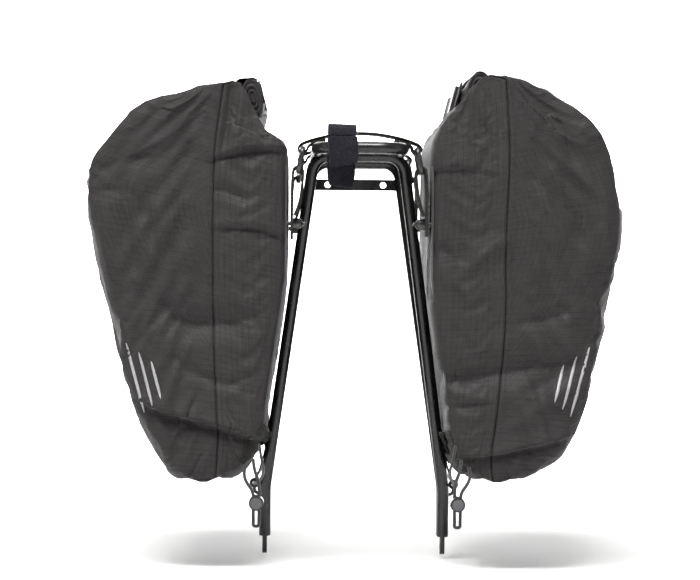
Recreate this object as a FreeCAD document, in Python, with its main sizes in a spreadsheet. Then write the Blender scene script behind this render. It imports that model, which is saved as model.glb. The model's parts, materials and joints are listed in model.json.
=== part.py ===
"""A pair of roll-top saddlebags joined by straps over a narrow carrier rack, in millimetres.

Frame: +Z up, +X towards the right-hand bag, -Y towards the rear end of the rack. The origin is
midway between the two foot eyelets that bolt to the vehicle. The right-hand bag is modelled and
the left-hand one is its mirror image.
"""

import FreeCAD, Part, Sketcher

import math
import os

from FreeCAD import Placement, Rotation, Vector

# Driving dimensions: (alias, value). Lengths are in millimetres, angles in degrees.
DIMENSIONS = [
    # rack tubes
    ("tube_radius", 5.0),
    ("deck_height", 343.5),
    ("deck_half_width", 36.0),
    ("deck_rear", 150.0),
    ("deck_front", 170.0),
    ("deck_corner", 20.0),
    ("arch_height", 340.0),
    ("arch_half_width", 38.0),
    ("arch_corner", 16.0),
    ("arch_reach", 70.0),
    ("foot_half_width", 78.0),
    ("foot_reach", 5.6),
    ("leg_end", 10.0),
    ("leg_bend", 52.0),
    ("leg_bend_radius", 60.0),
    # feet and lamp plate
    ("foot_plate_thickness", 4.0),
    ("foot_tab_radius", 6.5),
    ("foot_plate_half_top", 15.0),
    ("foot_plate_top", 54.0),
    ("eyelet_radius", 2.6),
    ("hook_hole_radius", 2.75),
    ("hook_height", 46.0),
    ("lamp_plate_thickness", 2.5),
    ("lamp_plate_height", 10.0),
    ("lamp_plate_middle", 320.0),
    ("lamp_hole_spacing", 50.0),
    ("lamp_hole_radius", 2.75),
    # strap rings and the straps that pass through them
    ("ring_wire", 2.2),
    ("ring_half_length", 21.0),
    ("ring_corner", 5.0),
    ("ring_offset", 110.0),
    ("pivot_x", 48.0),
    ("pivot_z", 343.4),
    ("ring_low_x", 51.5),
    ("ring_low_z", 324.5),
    ("strap_width", 30.0),
    ("strap_thickness", 1.8),
    ("strap_peak", 358.0),
    ("loop_clearance", 0.3),
    ("anchor_width", 24.0),
    ("anchor_thickness", 2.2),
    ("anchor_middle_x", -13.0),
    ("anchor_arc", 8.0),
    ("anchor_centre_z", 350.0),
    ("anchor_front_end", 328.0),
    ("anchor_rear_end", 310.0),
    # bag
    ("bag_half_length", 132.0),
    ("bag_end_taper", 8.0),
    ("bag_end_scale", 0.94),
    ("wall", 2.0),
    ("inner_face", 58.5),
    ("inner_knee", 235.0),
    ("inner_slope", 0.1433),
    ("inner_low", 78.0),
    ("inner_top", 344.0),
    ("bag_bottom", 60.0),
    ("bag_top", 398.0),
    ("bag_outer", 228.0),
    ("seam_x", 114.0),
    ("mouth_low_x", 101.0),
    ("mouth_high_x", 113.0),
    ("mouth_half_length", 112.0),
    ("stiffener_thickness", 1.8),
    ("stiffener_gap", 0.2),
    ("stiffener_half_length", 118.0),
    ("stiffener_low", 100.0),
    ("stiffener_high", 330.0),
    # fasteners that hold the hanger webbing
    ("bolt_height", 281.0),
    ("bolt_head_radius", 4.5),
    ("bolt_head_depth", 4.6),
    ("bolt_tip_radius", 1.6),
    ("bolt_shank_radius", 1.9),
    ("bolt_reach", 67.5),
    ("washer_radius", 7.0),
    ("washer_thickness", 1.2),
    ("nut_radius", 4.2),
    ("nut_thickness", 3.2),
    ("webbing_thickness", 1.6),
    ("webbing_gap", 0.5),
    # roll closure, in the roll's own tilted frame
    ("roll_x", 93.0),
    ("roll_z", 389.5),
    ("roll_tilt", 14.0),
    ("roll_half_thickness", 5.0),
    ("roll_half_height", 16.0),
    ("roll_half_length", 118.0),
    ("roll_strip_thickness", 1.6),
    ("roll_strip_height", 22.0),
    ("buckle_thickness", 6.4),
    ("buckle_height", 24.0),
    ("buckle_socket_length", 30.0),
    ("buckle_cavity_length", 25.0),
    ("buckle_cavity_thickness", 3.8),
    ("buckle_cavity_height", 19.0),
    ("buckle_base_length", 12.0),
    ("buckle_prong_length", 22.0),
    ("buckle_prong_width", 4.0),
    ("buckle_prong_gap", 0.4),
    ("closure_webbing_height", 20.0),
    # cords, hook and cord lock below the bag
    ("patch_thickness", 1.6),
    ("cord_plane", 133.6),
    ("cord_radius", 1.4),
    ("bungee_radius", 1.2),
    ("hook_x", 87.5),
    ("hook_eye_z", 55.0),
    ("hook_eye_radius", 3.0),
    ("hook_wire", 1.4),
    ("hook_tip_x", 73.5),
    ("hook_bend", 4.0),
    ("tab_half_width", 8.0),
    ("lock_x", 84.0),
    ("lock_z", 47.0),
    ("lock_radius", 6.2),
    ("lock_near", 141.0),
    ("lock_far", 122.5),
    ("lock_bore_far", 124.0),
    ("lock_bore_radius", 4.8),
    ("lock_hole_radius", 1.75),
    ("lock_hole_offset", 2.4),
    ("button_radius", 4.7),
    ("button_near", 144.5),
    ("button_far", 129.5),
    ("button_travel", 2.5),
    ("spring_radius", 3.0),
    ("spring_wire", 0.35),
    ("mark_thickness", 0.8),
]

DOC = FreeCAD.newDocument("saddlebags")
SHEET = DOC.addObject("Spreadsheet::Sheet", "Sizes")
SUBPARTS = {}


def fill_sheet():
    for row, (alias, value) in enumerate(DIMENSIONS, start=1):
        SHEET.set(f"A{row}", alias)
        SHEET.set(f"B{row}", str(value))
        SHEET.setAlias(f"B{row}", alias)
    DOC.recompute()


def size(alias):
    """The number that the sheet holds under this alias."""
    return float(SHEET.get(alias))


def value(expression):
    """What an expression in the sheet's aliases comes to."""
    found = SHEET.evalExpression(expression)
    return float(getattr(found, "Value", found))


def bind(thing, **expressions):
    """Binds properties to expressions; two underscores in a name stand for a dot."""
    for name, expression in expressions.items():
        thing.setExpression(name.replace("__", "."), expression)
    return thing


def keep(thing, label):
    """Makes an object of the document one of the sub-parts that are written out."""
    thing.Label = label
    SUBPARTS[label] = thing
    return thing


def mirror(thing, label):
    """The left-hand twin of a right-hand object."""
    twin = DOC.addObject("Part::Mirroring", label)
    twin.Source = thing
    twin.Normal = Vector(1, 0, 0)
    return keep(twin, label)


def pair(thing, name):
    """Keeps a right-hand object and its mirrored twin under one name."""
    keep(thing, f"{name}_right")
    mirror(thing, f"{name}_left")
    return thing


def feature(name, shape):
    made = DOC.addObject("Part::Feature", name)
    made.Shape = shape
    return made


# ---------------------------------------------------------------- Part helpers


def cylinder(name, radius, height, at, direction):
    """A cylinder bound to the sheet: at holds three expressions, direction is its axis."""
    made = DOC.addObject("Part::Cylinder", name)
    made.Placement = Placement(Vector(), Rotation(Vector(0, 0, 1), Vector(*direction)))
    return bind(
        made,
        Radius=radius,
        Height=height,
        Placement__Base__x=at[0],
        Placement__Base__y=at[1],
        Placement__Base__z=at[2],
    )


def box(name, low, high):
    """A box bound to the sheet by the expressions of its lowest and highest corners."""
    made = DOC.addObject("Part::Box", name)
    for side, axis, a, b in zip(("Length", "Width", "Height"), "xyz", low, high):
        made.setExpression(side, f"({b}) - ({a})")
        made.setExpression(f"Placement.Base.{axis}", a)
    return made


def cut(name, base, tool):
    made = DOC.addObject("Part::Cut", name)
    made.Base = base
    made.Tool = tool
    return made


def common(name, base, tool):
    made = DOC.addObject("Part::Common", name)
    made.Base = base
    made.Tool = tool
    return made


def fuse(name, *things):
    made = DOC.addObject("Part::MultiFuse", name)
    made.Shapes = list(things)
    return made


def group(name, *things):
    """Several separate solids that share one node."""
    made = DOC.addObject("Part::Compound", name)
    made.Links = list(things)
    return made


def rounded_path(points, radii, closed=False):
    """A wire of straight runs joined by tangent arcs at the inner points."""
    points = [Vector(*p) for p in points]
    count = len(points)
    corners = range(count) if closed else range(1, count - 1)
    starts, ends, arcs = list(points), list(points), {}
    for index in corners:
        here = points[index]
        back = (points[index - 1] - here).normalize()
        ahead = (points[(index + 1) % count] - here).normalize()
        half_turn = (math.pi - back.getAngle(ahead)) / 2
        reach = radii[index] * math.tan(half_turn)
        sink = radii[index] / math.cos(half_turn) - radii[index]
        ends[index] = here + back * reach
        starts[index] = here + ahead * reach
        middle = here + (back + ahead).normalize() * sink
        arcs[index] = Part.Arc(ends[index], middle, starts[index]).toShape()
    edges = []
    for index in range(count if closed else count - 1):
        following = (index + 1) % count
        edges.append(Part.LineSegment(starts[index], ends[following]).toShape())
        if following in arcs:
            edges.append(arcs[following])
    return Part.Wire(Part.__sortEdges__(edges))


def rod(name, path, radius):
    """A round rod swept along a wire; radius is an expression."""
    spine = feature(f"{name}_spine", path)
    first = path.OrderedEdges[0]
    section = DOC.addObject("Part::Circle", f"{name}_section")
    section.Placement = Placement(
        first.valueAt(first.FirstParameter),
        Rotation(Vector(0, 0, 1), first.tangentAt(first.FirstParameter)),
    )
    bind(section, Radius=radius)
    made = DOC.addObject("Part::Sweep", name)
    made.Sections = [section]
    made.Spine = (spine, [f"Edge{n + 1}" for n in range(len(path.Edges))])
    made.Solid = True
    made.Frenet = False
    return made


def ribbon(points, thickness, low_y, high_y):
    """A bent strip of webbing: a smooth line in the XZ plane, thickened, and extruded along Y."""
    line = Part.BSplineCurve()
    line.interpolate([Vector(x, 0, z) for x, z in points])
    steps = 6 * (len(points) - 1)
    sides = {1: [], -1: []}
    for step in range(steps + 1):
        at = line.FirstParameter
        at += (line.LastParameter - line.FirstParameter) * step / steps
        along = line.tangent(at)[0]
        across = Vector(-along.z, 0, along.x)
        for side, found in sides.items():
            found.append(line.value(at) + across * (side * thickness / 2))
    edges = []
    for found in sides.values():
        curve = Part.BSplineCurve()
        curve.interpolate(found)
        edges.append(curve.toShape())
    for end in (0, -1):
        edges.append(Part.LineSegment(sides[1][end], sides[-1][end]).toShape())
    face = Part.Face(Part.Wire(Part.__sortEdges__(edges)))
    face.translate(Vector(0, low_y, 0))
    return face.extrude(Vector(0, high_y - low_y, 0))


# ---------------------------------------------------------------- PartDesign helper


def plate(name, plane, start, depth, vertices, holes=()):
    """A flat plate as a body: a sketched outline with round holes, padded by depth.

    plane is the role of the body's origin plane and start how far along its normal the sketch
    lies. Every vertex and hole is given by expressions, and is constrained to them.
    """
    body = DOC.addObject("PartDesign::Body", name)
    sketch = body.newObject("Sketcher::SketchObject", f"{name}_outline")
    support = next(f for f in body.Origin.OriginFeatures if f.Role == plane)
    sketch.AttachmentSupport = (support, [""])
    sketch.MapMode = "FlatFace"
    bind(sketch, AttachmentOffset__Base__z=start)
    corners = [Vector(value(x), value(y), 0) for x, y in vertices]
    count = len(corners)
    for index, corner in enumerate(corners):
        sketch.addGeometry(Part.LineSegment(corner, corners[(index + 1) % count]), False)
    for index in range(count):
        joined = Sketcher.Constraint("Coincident", index, 2, (index + 1) % count, 1)
        sketch.addConstraint(joined)
    placed = [(index, 1, vertex) for index, vertex in enumerate(vertices)]
    for x, y, radius in holes:
        circle = Part.Circle(Vector(value(x), value(y), 0), Vector(0, 0, 1), value(radius))
        number = sketch.addGeometry(circle, False)
        placed.append((number, 3, (x, y)))
        fixed = sketch.addConstraint(Sketcher.Constraint("Radius", number, value(radius)))
        sketch.setExpression(f"Constraints[{fixed}]", radius)
    for number, end, (x, y) in placed:
        for kind, expression in (("DistanceX", x), ("DistanceY", y)):
            limit = Sketcher.Constraint(kind, -1, 1, number, end, value(expression))
            fixed = sketch.addConstraint(limit)
            sketch.setExpression(f"Constraints[{fixed}]", expression)
    pad = body.newObject("PartDesign::Pad", f"{name}_pad")
    pad.Profile = sketch
    bind(pad, Length=depth)
    DOC.recompute()
    return body


# ---------------------------------------------------------------- rack


def rack():
    """The deck loop, two leg arches coped round it with slotted feet, and the lamp plate."""
    tube = "Sizes.tube_radius"
    half, high = size("deck_half_width"), size("deck_height")
    rear, front = -size("deck_rear"), size("deck_front")
    loop = rounded_path(
        [(half, rear, high), (half, front, high), (-half, front, high), (-half, rear, high)],
        [size("deck_corner")] * 4,
        closed=True,
    )
    deck = keep(rod("deck_loop", loop, tube), "deck_loop")
    foot = foot_plate()
    mirrored_foot = mirror(foot, "foot_plate_left")
    notches = group("leg_notches", foot, mirrored_foot, deck)
    arches = {}
    for name, way in (("rear", -1), ("front", 1)):
        bent = rod(f"{name}_arch_rod", arch_path(way), tube)
        arches[way] = keep(cut(f"{name}_leg_arch", bent, notches), f"{name}_leg_arch")
    lamp_plate(arches[1])


def arch_path(way):
    """The centre line of one leg arch; way is -1 for the rear arch and 1 for the front."""
    foot_x, top_x = size("foot_half_width"), size("arch_half_width")
    end, bend, top = size("leg_end"), size("leg_bend"), size("arch_height")
    lean = (size("arch_reach") - size("foot_reach")) / (top - end)

    def reach(z):
        return way * (size("foot_reach") + (z - end) * lean)

    half = [(foot_x, reach(end), end), (foot_x, reach(bend), bend), (top_x, reach(top), top)]
    points = half + [(-x, y, z) for x, y, z in reversed(half)]
    bend_radius, corner = size("leg_bend_radius"), size("arch_corner")
    return rounded_path(points, [0, bend_radius, corner, corner, bend_radius, 0])


def foot_plate():
    """The plate welded into the slotted leg ends, with the eyelet that bolts to the vehicle."""
    half_top, top = "Sizes.foot_plate_half_top", "Sizes.foot_plate_top"
    tab = "Sizes.foot_tab_radius"
    shoulder = ("Sizes.foot_tab_radius + 1", "Sizes.leg_end + 2")
    blade = plate(
        "foot_blade",
        "YZ_Plane",
        "Sizes.foot_half_width - Sizes.foot_plate_thickness / 2",
        "Sizes.foot_plate_thickness",
        [
            (tab, "0"),
            shoulder,
            (half_top, top),
            (f"-{half_top}", top),
            (f"-({shoulder[0]})", shoulder[1]),
            (f"-{tab}", "0"),
        ],
        [("0", "Sizes.hook_height", "Sizes.hook_hole_radius")],
    )
    start = ("Sizes.foot_half_width - Sizes.foot_plate_thickness / 2", "0", "0")
    thick = "Sizes.foot_plate_thickness"
    round_end = cylinder("foot_round_end", tab, thick, start, (1, 0, 0))
    eyelet = cylinder("foot_eyelet", "Sizes.eyelet_radius", thick, start, (1, 0, 0))
    joined = fuse("foot_joined", blade, round_end)
    return keep(cut("foot_plate_right", joined, eyelet), "foot_plate_right")


def lamp_plate(front_arch):
    """The cross plate between the front legs, with two holes for a lamp or for stays."""
    half = "(Sizes.arch_half_width + 2)"
    low = "Sizes.lamp_plate_middle - Sizes.lamp_plate_height / 2"
    high = "Sizes.lamp_plate_middle + Sizes.lamp_plate_height / 2"
    hole = ("Sizes.lamp_plate_middle", "Sizes.lamp_hole_radius")
    lean = "(Sizes.arch_reach - Sizes.foot_reach) / (Sizes.arch_height - Sizes.leg_end)"
    middle = f"Sizes.foot_reach + (Sizes.lamp_plate_middle - Sizes.leg_end) * {lean}"
    blank = plate(
        "lamp_blank",
        "XZ_Plane",
        f"-({middle}) - Sizes.lamp_plate_thickness / 2",
        "Sizes.lamp_plate_thickness",
        [(f"-{half}", low), (half, low), (half, high), (f"-{half}", high)],
        [("-Sizes.lamp_hole_spacing / 2", *hole), ("Sizes.lamp_hole_spacing / 2", *hole)],
    )
    keep(cut("lamp_plate", blank, front_arch), "lamp_plate")


# ---------------------------------------------------------------- straps over the deck


def bar_hole(name, x, z, radius, middle, half_width):
    """A round tool along Y that keeps a strap loop clear of the ring bar in it."""
    length = f"2 * ({half_width}) + 2"
    at = (x, f"{middle} - ({half_width}) - 1", z)
    return cylinder(name, radius, length, at, (0, 1, 0))


def bridge_straps():
    """The two webbing straps that carry both bags, each with a loop round a ring bar."""
    thick, peak = size("strap_thickness"), size("strap_peak")
    x, z = size("pivot_x"), size("pivot_z")
    loop = size("ring_wire") + size("loop_clearance") + thick
    half = size("strap_width") / 2
    for name, way in (("rear", -1), ("front", 1)):
        middle = way * size("ring_offset")
        edges = []
        for drop in (0.0, thick):
            low = Vector(x + 1.5 - drop * 0.6, middle - half, z + loop - 0.3 - drop)
            crown = Vector(0, middle - half, peak - drop)
            edges.append(Part.Arc(low, crown, Vector(-low.x, low.y, low.z)).toShape())
        ends = [[edge.valueAt(edge.FirstParameter), edge.valueAt(edge.LastParameter)] for edge in edges]
        for a, b in zip(*ends):
            edges.append(Part.LineSegment(a, b).toShape())
        face = Part.Face(Part.Wire(Part.__sortEdges__(edges)))
        band = feature(f"{name}_band", face.extrude(Vector(0, 2 * half, 0)))
        parts, holes = [band], []
        for side in (-1, 1):
            where = (f"{side} * Sizes.pivot_x", f"{middle - half}", "Sizes.pivot_z")
            outer = "Sizes.ring_wire + Sizes.loop_clearance + Sizes.strap_thickness"
            tag = f"{name}_loop_{'left' if side < 0 else 'right'}"
            parts.append(cylinder(tag, outer, "Sizes.strap_width", where, (0, 1, 0)))
            inner = "Sizes.ring_wire + Sizes.loop_clearance"
            holes.append(
                bar_hole(f"{tag}_hole", where[0], where[2], inner, f"{middle}", f"{half}")
            )
        joined = fuse(f"{name}_strap_joined", *parts)
        tool = group(f"{name}_strap_holes", *holes)
        keep(cut(f"bridge_strap_{name}", joined, tool), f"bridge_strap_{name}")


def anchor_strap():
    """The hook-and-loop strap over the rear deck tube: a fixed bend and tail, and a free tab."""
    inner, thick = size("anchor_arc"), size("anchor_thickness")
    y, z = -size("deck_rear"), size("anchor_centre_z")
    low_x = size("anchor_middle_x") - size("anchor_width") / 2
    tail = size("anchor_rear_end")
    edges = []
    for radius in (inner, inner + thick):
        near, far = Vector(low_x, y - radius, z), Vector(low_x, y + radius, z)
        edges.append(Part.Arc(near, Vector(low_x, y, z + radius), far).toShape())
        edges.append(Part.LineSegment(far, Vector(low_x, y + radius, tail)).toShape())
    outer = inner + thick
    edges.append(Part.LineSegment(Vector(low_x, y - inner, z), Vector(low_x, y - outer, z)).toShape())
    edges.append(
        Part.LineSegment(Vector(low_x, y + inner, tail), Vector(low_x, y + outer, tail)).toShape()
    )
    face = Part.Face(Part.Wire(Part.__sortEdges__(edges)))
    keep(feature("anchor_strap", face.extrude(Vector(size("anchor_width"), 0, 0))), "anchor_strap")
    near_face = "-Sizes.deck_rear - Sizes.anchor_arc"
    tab = box(
        "anchor_strap_tab",
        (
            "Sizes.anchor_middle_x - Sizes.anchor_width / 2",
            f"{near_face} - Sizes.anchor_thickness",
            "Sizes.anchor_front_end",
        ),
        (
            "Sizes.anchor_middle_x + Sizes.anchor_width / 2",
            near_face,
            "Sizes.anchor_centre_z - Sizes.loop_clearance",
        ),
    )
    keep(tab, "anchor_strap_tab")


# ---------------------------------------------------------------- bag shell


def bag_profile():
    """The bag's outline seen from the rear, as (x, z) corners, anticlockwise from low inside."""
    inner, knee, slope = size("inner_face"), size("inner_knee"), size("inner_slope")
    low, bottom, top = size("inner_low"), size("bag_bottom"), size("bag_top")
    outer, seam = size("bag_outer"), size("seam_x")
    return [
        (inner + (knee - low) * slope, low),
        (inner + 25.5, bottom + 10),
        (seam + 4, bottom),
        (seam + 51, bottom + 16),
        (outer - 32, bottom + 80),
        (outer, bottom + 245),
        (outer - 23, top - 32),
        (outer - 56, top - 13),
        (seam - 2, top),
        (size("mouth_low_x") - 1, top - 21),
        (inner, size("inner_top")),
        (inner, knee),
    ]


def inset(outline, by):
    """The outline moved inwards by a wall's thickness, corner by corner."""
    count, moved = len(outline), []
    for index in range(count):
        before, here, after = (Vector(*outline[(index + k) % count], 0) for k in (-1, 0, 1))
        first, second = (here - before).normalize(), (after - here).normalize()
        left = Vector(-first.y, first.x, 0)
        turn = first.x * second.y - first.y * second.x
        along = (1 - first.dot(second)) / turn
        corner = here + left * by - first * (by * along)
        moved.append((corner.x, corner.y))
    return moved


def bag_block(by):
    """The bag as a closed block, with both ends tapered; by is how far it is set in."""
    outline = inset(bag_profile(), by) if by else bag_profile()
    middle = Vector(140, 230, 0)
    half, taper = size("bag_half_length") - by, size("bag_end_taper")
    wires = []
    for y, scale in (
        (-half, size("bag_end_scale")),
        (taper - half, 1.0),
        (half - taper, 1.0),
        (half, size("bag_end_scale")),
    ):
        corners = [
            Vector(middle.x + (x - middle.x) * scale, y, middle.y + (z - middle.y) * scale)
            for x, z in outline
        ]
        wires.append(Part.makePolygon(corners + corners[:1]))
    return Part.makeLoft(wires, True, True)


def bag_panels():
    """The hollow bag with its mouth open, split along the end seam into its two panels."""
    shell = cut(
        "bag_shell",
        feature("bag_outside", bag_block(0)),
        feature("bag_inside", bag_block(size("wall"))),
    )
    mouth = box(
        "mouth",
        ("Sizes.mouth_low_x", "-Sizes.mouth_half_length", "Sizes.bag_top - 38"),
        ("Sizes.mouth_high_x", "Sizes.mouth_half_length", "Sizes.bag_top + 10"),
    )
    opened = cut("bag_opened", shell, mouth)
    low = ("-Sizes.bag_half_length - 5", "Sizes.bag_bottom - 5")
    high = ("Sizes.bag_half_length + 5", "Sizes.bag_top + 5")
    inner_side = box("inner_side", ("0", *low), ("Sizes.seam_x", *high))
    outer_side = box("outer_side", ("Sizes.seam_x", *low), ("Sizes.bag_outer + 5", *high))
    pair(common("outer_panel_right", opened, outer_side), "outer_panel")
    inner = common("inner_panel_blank", opened, inner_side)
    pair(cut("inner_panel_right", inner, bolt_holes("panel")), "inner_panel")


def bolt_holes(name):
    """Tools for the two holes that the hanger bolts pass through."""
    tools = []
    for way in (-1, 1):
        at = ("Sizes.inner_face - 3", f"{way} * Sizes.ring_offset", "Sizes.bolt_height")
        tag = f"{name}_hole_{'rear' if way < 0 else 'front'}"
        tools.append(cylinder(tag, "Sizes.bolt_shank_radius + 0.15", "12", at, (1, 0, 0)))
    return group(f"{name}_holes", *tools)


def back_stiffener():
    """The bent plastic sheet that keeps the bag's back flat against the rack."""
    near = "(Sizes.wall + Sizes.stiffener_gap)"
    far = "(Sizes.wall + Sizes.stiffener_gap + Sizes.stiffener_thickness)"
    stretch = "sqrt(1 + Sizes.inner_slope ^ 2)"
    low = "(Sizes.inner_knee - Sizes.stiffener_low) * Sizes.inner_slope"

    def knee(offset):
        return f"Sizes.inner_knee + {offset} * ({stretch} - 1) / Sizes.inner_slope"

    sheet = plate(
        "stiffener_sheet",
        "XZ_Plane",
        "-Sizes.stiffener_half_length",
        "2 * Sizes.stiffener_half_length",
        [
            (f"Sizes.inner_face + {near}", "Sizes.stiffener_high"),
            (f"Sizes.inner_face + {near}", knee(near)),
            (f"Sizes.inner_face + {low} + {near} * {stretch}", "Sizes.stiffener_low"),
            (f"Sizes.inner_face + {low} + {far} * {stretch}", "Sizes.stiffener_low"),
            (f"Sizes.inner_face + {far}", knee(far)),
            (f"Sizes.inner_face + {far}", "Sizes.stiffener_high"),
        ],
    )
    drilled = cut("stiffener_drilled", sheet, bolt_holes("stiffener"))
    pair(drilled, "back_stiffener")


# ---------------------------------------------------------------- hangers on the bag's back


def strap_rings():
    """The two wire rings that link the bag to the straps over the deck."""
    top = Vector(size("pivot_x"), 0, size("pivot_z"))
    low = Vector(size("ring_low_x"), 0, size("ring_low_z"))
    half = size("ring_half_length")
    rings = []
    for name, way in (("rear", -1), ("front", 1)):
        middle = way * size("ring_offset")
        points = [
            (end.x, middle + side * half, end.z) for end, side in ((top, -1), (top, 1), (low, 1), (low, -1))
        ]
        path = rounded_path(points, [size("ring_corner")] * 4, closed=True)
        rings.append(rod(f"{name}_ring", path, "Sizes.ring_wire"))
    pair(group("strap_rings_right", *rings), "strap_rings")


def hanger_webbing():
    """Webbing loops round the rings' lower bars: one ply lies on the bag, one bows out."""
    face, thick = size("inner_face"), size("webbing_thickness")
    x, z = size("ring_low_x"), size("ring_low_z")
    bolt = size("bolt_height")
    flat_x = face - size("webbing_gap") - thick / 2
    flat = [(x + 3.3, z + 0.5)]
    flat += [(flat_x, level) for level in (z - 8, z - 16, z - 24, z - 32, bolt, bolt - 9)]
    bowed = [(x - 3.2, z - 0.5), (x - 4.9, z - 16), (x - 3.2, z - 27), (flat_x - 0.2, bolt + 7)]
    loops = []
    for name, way in (("rear", -1), ("front", 1)):
        middle, half = way * size("ring_offset"), size("strap_width") / 2
        low_y, high_y = middle - half, middle + half
        plies = [
            feature(f"{name}_{tag}_ply", ribbon(points, thick, low_y, high_y))
            for tag, points in (("flat", flat), ("bowed", bowed))
        ]
        outer = "Sizes.ring_wire + Sizes.loop_clearance + Sizes.webbing_thickness"
        at = ("Sizes.ring_low_x", f"{low_y}", "Sizes.ring_low_z")
        eye = cylinder(f"{name}_eye", outer, "Sizes.strap_width", at, (0, 1, 0))
        inner = "Sizes.ring_wire + Sizes.loop_clearance"
        bore = bar_hole(f"{name}_eye_bore", at[0], at[2], inner, f"{middle}", f"{half}")
        joined = fuse(f"{name}_webbing_joined", eye, *plies)
        loops.append(cut(f"{name}_webbing", joined, bore))
    both = group("webbing_both", *loops)
    pair(cut("hanger_webbing_right", both, bolt_holes("webbing")), "hanger_webbing")


def hanger_bolts():
    """Domed binding bolts through webbing, panel and stiffener, with washers and nuts inside."""
    seat = "Sizes.inner_face - Sizes.webbing_gap - Sizes.webbing_thickness - 0.2"
    inside = (
        "Sizes.inner_face + Sizes.wall + Sizes.stiffener_gap + Sizes.stiffener_thickness + 0.1"
    )
    bolts, nuts = [], []
    for name, way in (("rear", -1), ("front", 1)):
        y = f"{way} * Sizes.ring_offset"
        z = "Sizes.bolt_height"
        dome_x = f"{seat} - Sizes.bolt_head_depth"
        head = cylinder(
            f"{name}_head", "Sizes.bolt_head_radius", "Sizes.bolt_head_depth", (dome_x, y, z), (1, 0, 0)
        )
        dome = DOC.addObject("Part::Sphere", f"{name}_dome")
        bind(
            dome,
            Radius="Sizes.bolt_head_radius",
            Placement__Base__x=dome_x,
            Placement__Base__y=y,
            Placement__Base__z=z,
        )
        tip_x = f"{dome_x} - Sizes.bolt_head_radius - 1.6"
        tip = cylinder(f"{name}_tip", "Sizes.bolt_tip_radius", "5", (tip_x, y, z), (1, 0, 0))
        shank = cylinder(
            f"{name}_shank",
            "Sizes.bolt_shank_radius",
            f"Sizes.bolt_reach - ({dome_x})",
            (dome_x, y, z),
            (1, 0, 0),
        )
        bolts.append(fuse(f"{name}_bolt", head, dome, tip, shank))
        washer = cylinder(
            f"{name}_washer", "Sizes.washer_radius", "Sizes.washer_thickness", (inside, y, z), (1, 0, 0)
        )
        nut = DOC.addObject("Part::Prism", f"{name}_nut_blank")
        nut.Polygon = 6
        nut.Placement = Placement(Vector(), Rotation(Vector(0, 0, 1), Vector(1, 0, 0)))
        bind(
            nut,
            Circumradius="Sizes.nut_radius",
            Height="Sizes.nut_thickness",
            Placement__Base__x=f"{inside} + Sizes.washer_thickness",
            Placement__Base__y=y,
            Placement__Base__z=z,
        )
        joined = fuse(f"{name}_nut_joined", washer, nut)
        bore = cylinder(
            f"{name}_nut_bore", "Sizes.bolt_shank_radius + 0.05", "12", (inside, y, z), (1, 0, 0)
        )
        nuts.append(cut(f"{name}_nut", joined, bore))
    pair(group("hanger_bolts_right", *bolts), "hanger_bolts")
    pair(group("hanger_nuts_right", *nuts), "hanger_nuts")


# ---------------------------------------------------------------- roll closure


def in_roll_frame(thing):
    """Places an object that was made about the roll's own centre line."""
    turn = Rotation(Vector(0, 1, 0), size("roll_tilt"))
    thing.Placement = Placement(Vector(size("roll_x"), 0, size("roll_z")), turn)
    return thing


def roll_closure():
    """The rolled mouth of the bag: an oval roll round a stiff strip."""
    thick, high = size("roll_half_thickness"), size("roll_half_height")
    half = size("roll_half_length")
    straight = high - thick
    corners = [Vector(s * thick, -half, t * straight) for s, t in ((1, -1), (1, 1), (-1, 1), (-1, -1))]
    edges = [
        Part.LineSegment(corners[0], corners[1]).toShape(),
        Part.Arc(corners[1], Vector(0, -half, high), corners[2]).toShape(),
        Part.LineSegment(corners[2], corners[3]).toShape(),
        Part.Arc(corners[3], Vector(0, -half, -high), corners[0]).toShape(),
    ]
    solid = Part.Face(Part.Wire(edges)).extrude(Vector(0, 2 * half, 0))
    oval = feature("roll_oval", solid)
    pocket = box(
        "roll_pocket",
        (
            "-Sizes.roll_strip_thickness / 2 - 0.1",
            "-Sizes.roll_half_length + 2",
            "-Sizes.roll_strip_height / 2 - 0.1",
        ),
        (
            "Sizes.roll_strip_thickness / 2 + 0.1",
            "Sizes.roll_half_length - 2",
            "Sizes.roll_strip_height / 2 + 0.1",
        ),
    )
    strip = box(
        "roll_strip",
        (
            "-Sizes.roll_strip_thickness / 2",
            "-Sizes.roll_half_length + 2.2",
            "-Sizes.roll_strip_height / 2",
        ),
        (
            "Sizes.roll_strip_thickness / 2",
            "Sizes.roll_half_length - 2.2",
            "Sizes.roll_strip_height / 2",
        ),
    )
    pair(in_roll_frame(cut("roll_closure_right", oval, pocket)), "roll_closure")
    pair(in_roll_frame(group("roll_stiffener_right", strip)), "roll_stiffener")


def mouth_collar():
    """The fabric that runs from the open mouth into the roll."""
    top, outer = size("bag_top"), size("mouth_high_x")
    points = [(outer + 0.5, top + 2.3), (109, top + 7.4), (103, top + 9.6), (97.5, top + 9.4)]
    half = size("mouth_half_length")
    collar = ribbon(points, 1.4, -half, half)
    pair(feature("mouth_collar_right", collar), "mouth_collar")


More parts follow.
